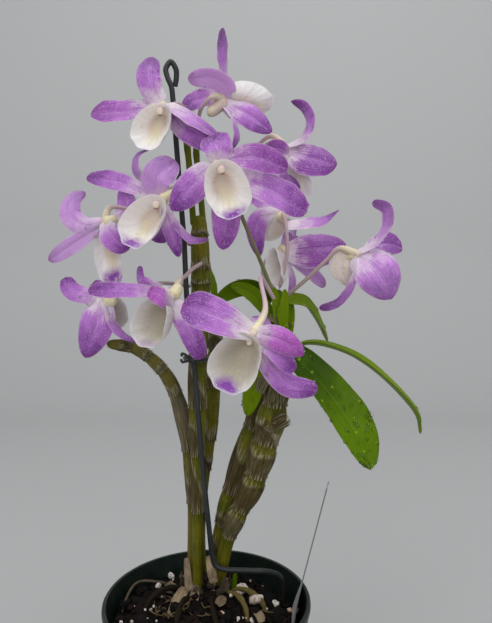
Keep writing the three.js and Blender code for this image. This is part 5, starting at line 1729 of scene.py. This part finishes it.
def add_backdrop(look):
    """A floor that curves up into a wall behind, as one strip; the floor is painted darker than the wall as painted
    shade.
    """
    bend, back = BACKDROP.bend, BACKDROP.back
    curve = [(back + bend * math.sin(a), bend * (1 - math.cos(a))) for a in np.linspace(0, PI / 2, 16)]
    profile = np.array([(BACKDROP.front, 0.0), *curve, (back + bend, BACKDROP.top)])
    x = np.array([-BACKDROP.half, BACKDROP.half])
    points = np.stack(np.broadcast_arrays(x[None], profile[:, :1], profile[:, 1:]), -1)
    mesh = bpy.data.meshes.new("backdrop")
    mesh.from_pydata(points.reshape(-1, 3).tolist(), [], grid_faces(len(profile), 2, False).tolist())
    mesh.polygons.foreach_set("use_smooth", np.ones(len(mesh.polygons), bool))

    def build(graph):
        height = graph.height()
        # Painted shade: the floor is darker than the wall, up to a height of 0.35 m.
        shade = graph.mix(graph.span(height, 0.0, 0.35, 0.85, 1.0), (0.0, 0.0, 0.0), tuple(look.grey))
        grain = graph.noise(graph.place(), 6.0, 2.0)
        return {"Base_Color": graph.mix(graph.times(grain, 0.08), shade, (0.4, 0.4, 0.4))}

    mesh.materials.append(material("backdrop_paper", build, Roughness=0.9))
    placed("backdrop", mesh)


def add_lamp(name, place, size, power):
    """A large square lamp that faces the middle of the plant."""
    data = bpy.data.lights.new(name, "AREA")
    data.energy, data.size = power, size
    made = placed(name, data)
    made.location = place
    aim = np.array(place) - (0, 0, LAMP_AIM)
    made.rotation_euler = (math.atan2(math.hypot(aim[0], aim[1]), aim[2]), 0, math.atan2(aim[1], aim[0]) + PI / 2)


def add_camera(look):
    """The camera: a hand's width in front of the plant's middle height, tipped down a little."""
    data = bpy.data.cameras.new("camera")
    data.lens, data.sensor_width, data.clip_start = look.lens, CAMERA.sensor, CAMERA.clip
    made = placed("camera", data)
    made.location = [v * MM for v in CAMERA.at]
    made.rotation_euler = (math.radians(90 - CAMERA.pitch), 0, 0)
    bpy.context.scene.camera = made


# ---------- panel and run ----------

SETTINGS = {
    "orchid_bloom": ORCHID_PG_bloom,
    "orchid_plant": ORCHID_PG_plant,
    "orchid_pot": ORCHID_PG_pot,
    "orchid_stage": ORCHID_PG_stage,
}
OPERATORS = (
    ORCHID_OT_pot,
    ORCHID_OT_mix,
    ORCHID_OT_crown,
    ORCHID_OT_canes,
    ORCHID_OT_leaves,
    ORCHID_OT_blooms,
    ORCHID_OT_supports,
    ORCHID_OT_stage,
)


class ORCHID_PT_panel(bpy.types.Panel):
    """The orchid's settings and its makers."""

    bl_idname = "ORCHID_PT_panel"
    bl_label = "Dendrobium Orchid"
    bl_space_type = "VIEW_3D"
    bl_region_type = "UI"
    bl_category = "Orchid"

    def draw(self, context):
        for name, group in SETTINGS.items():
            box = self.layout.box()
            for key in group.__annotations__:
                box.prop(getattr(context.scene, name), key)
        for operator in OPERATORS:
            self.layout.operator(operator.bl_idname)


def register():
    """Registers the settings, operators and panel."""
    for group in (*SETTINGS.values(), *OPERATORS, ORCHID_PT_panel):
        bpy.utils.register_class(group)
    for name, group in SETTINGS.items():
        setattr(bpy.types.Scene, name, PointerProperty(type=group))


def unregister():
    """Takes them away again."""
    for name in SETTINGS:
        delattr(bpy.types.Scene, name)
    for group in (ORCHID_PT_panel, *OPERATORS, *SETTINGS.values()):
        bpy.utils.unregister_class(group)


def main():
    """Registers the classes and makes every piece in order."""
    register()
    make_effects()
    for operator in OPERATORS:
        group, name = operator.bl_idname.split(".")
        getattr(getattr(bpy.ops, group), name)()


if __name__ == "__main__":
    main()
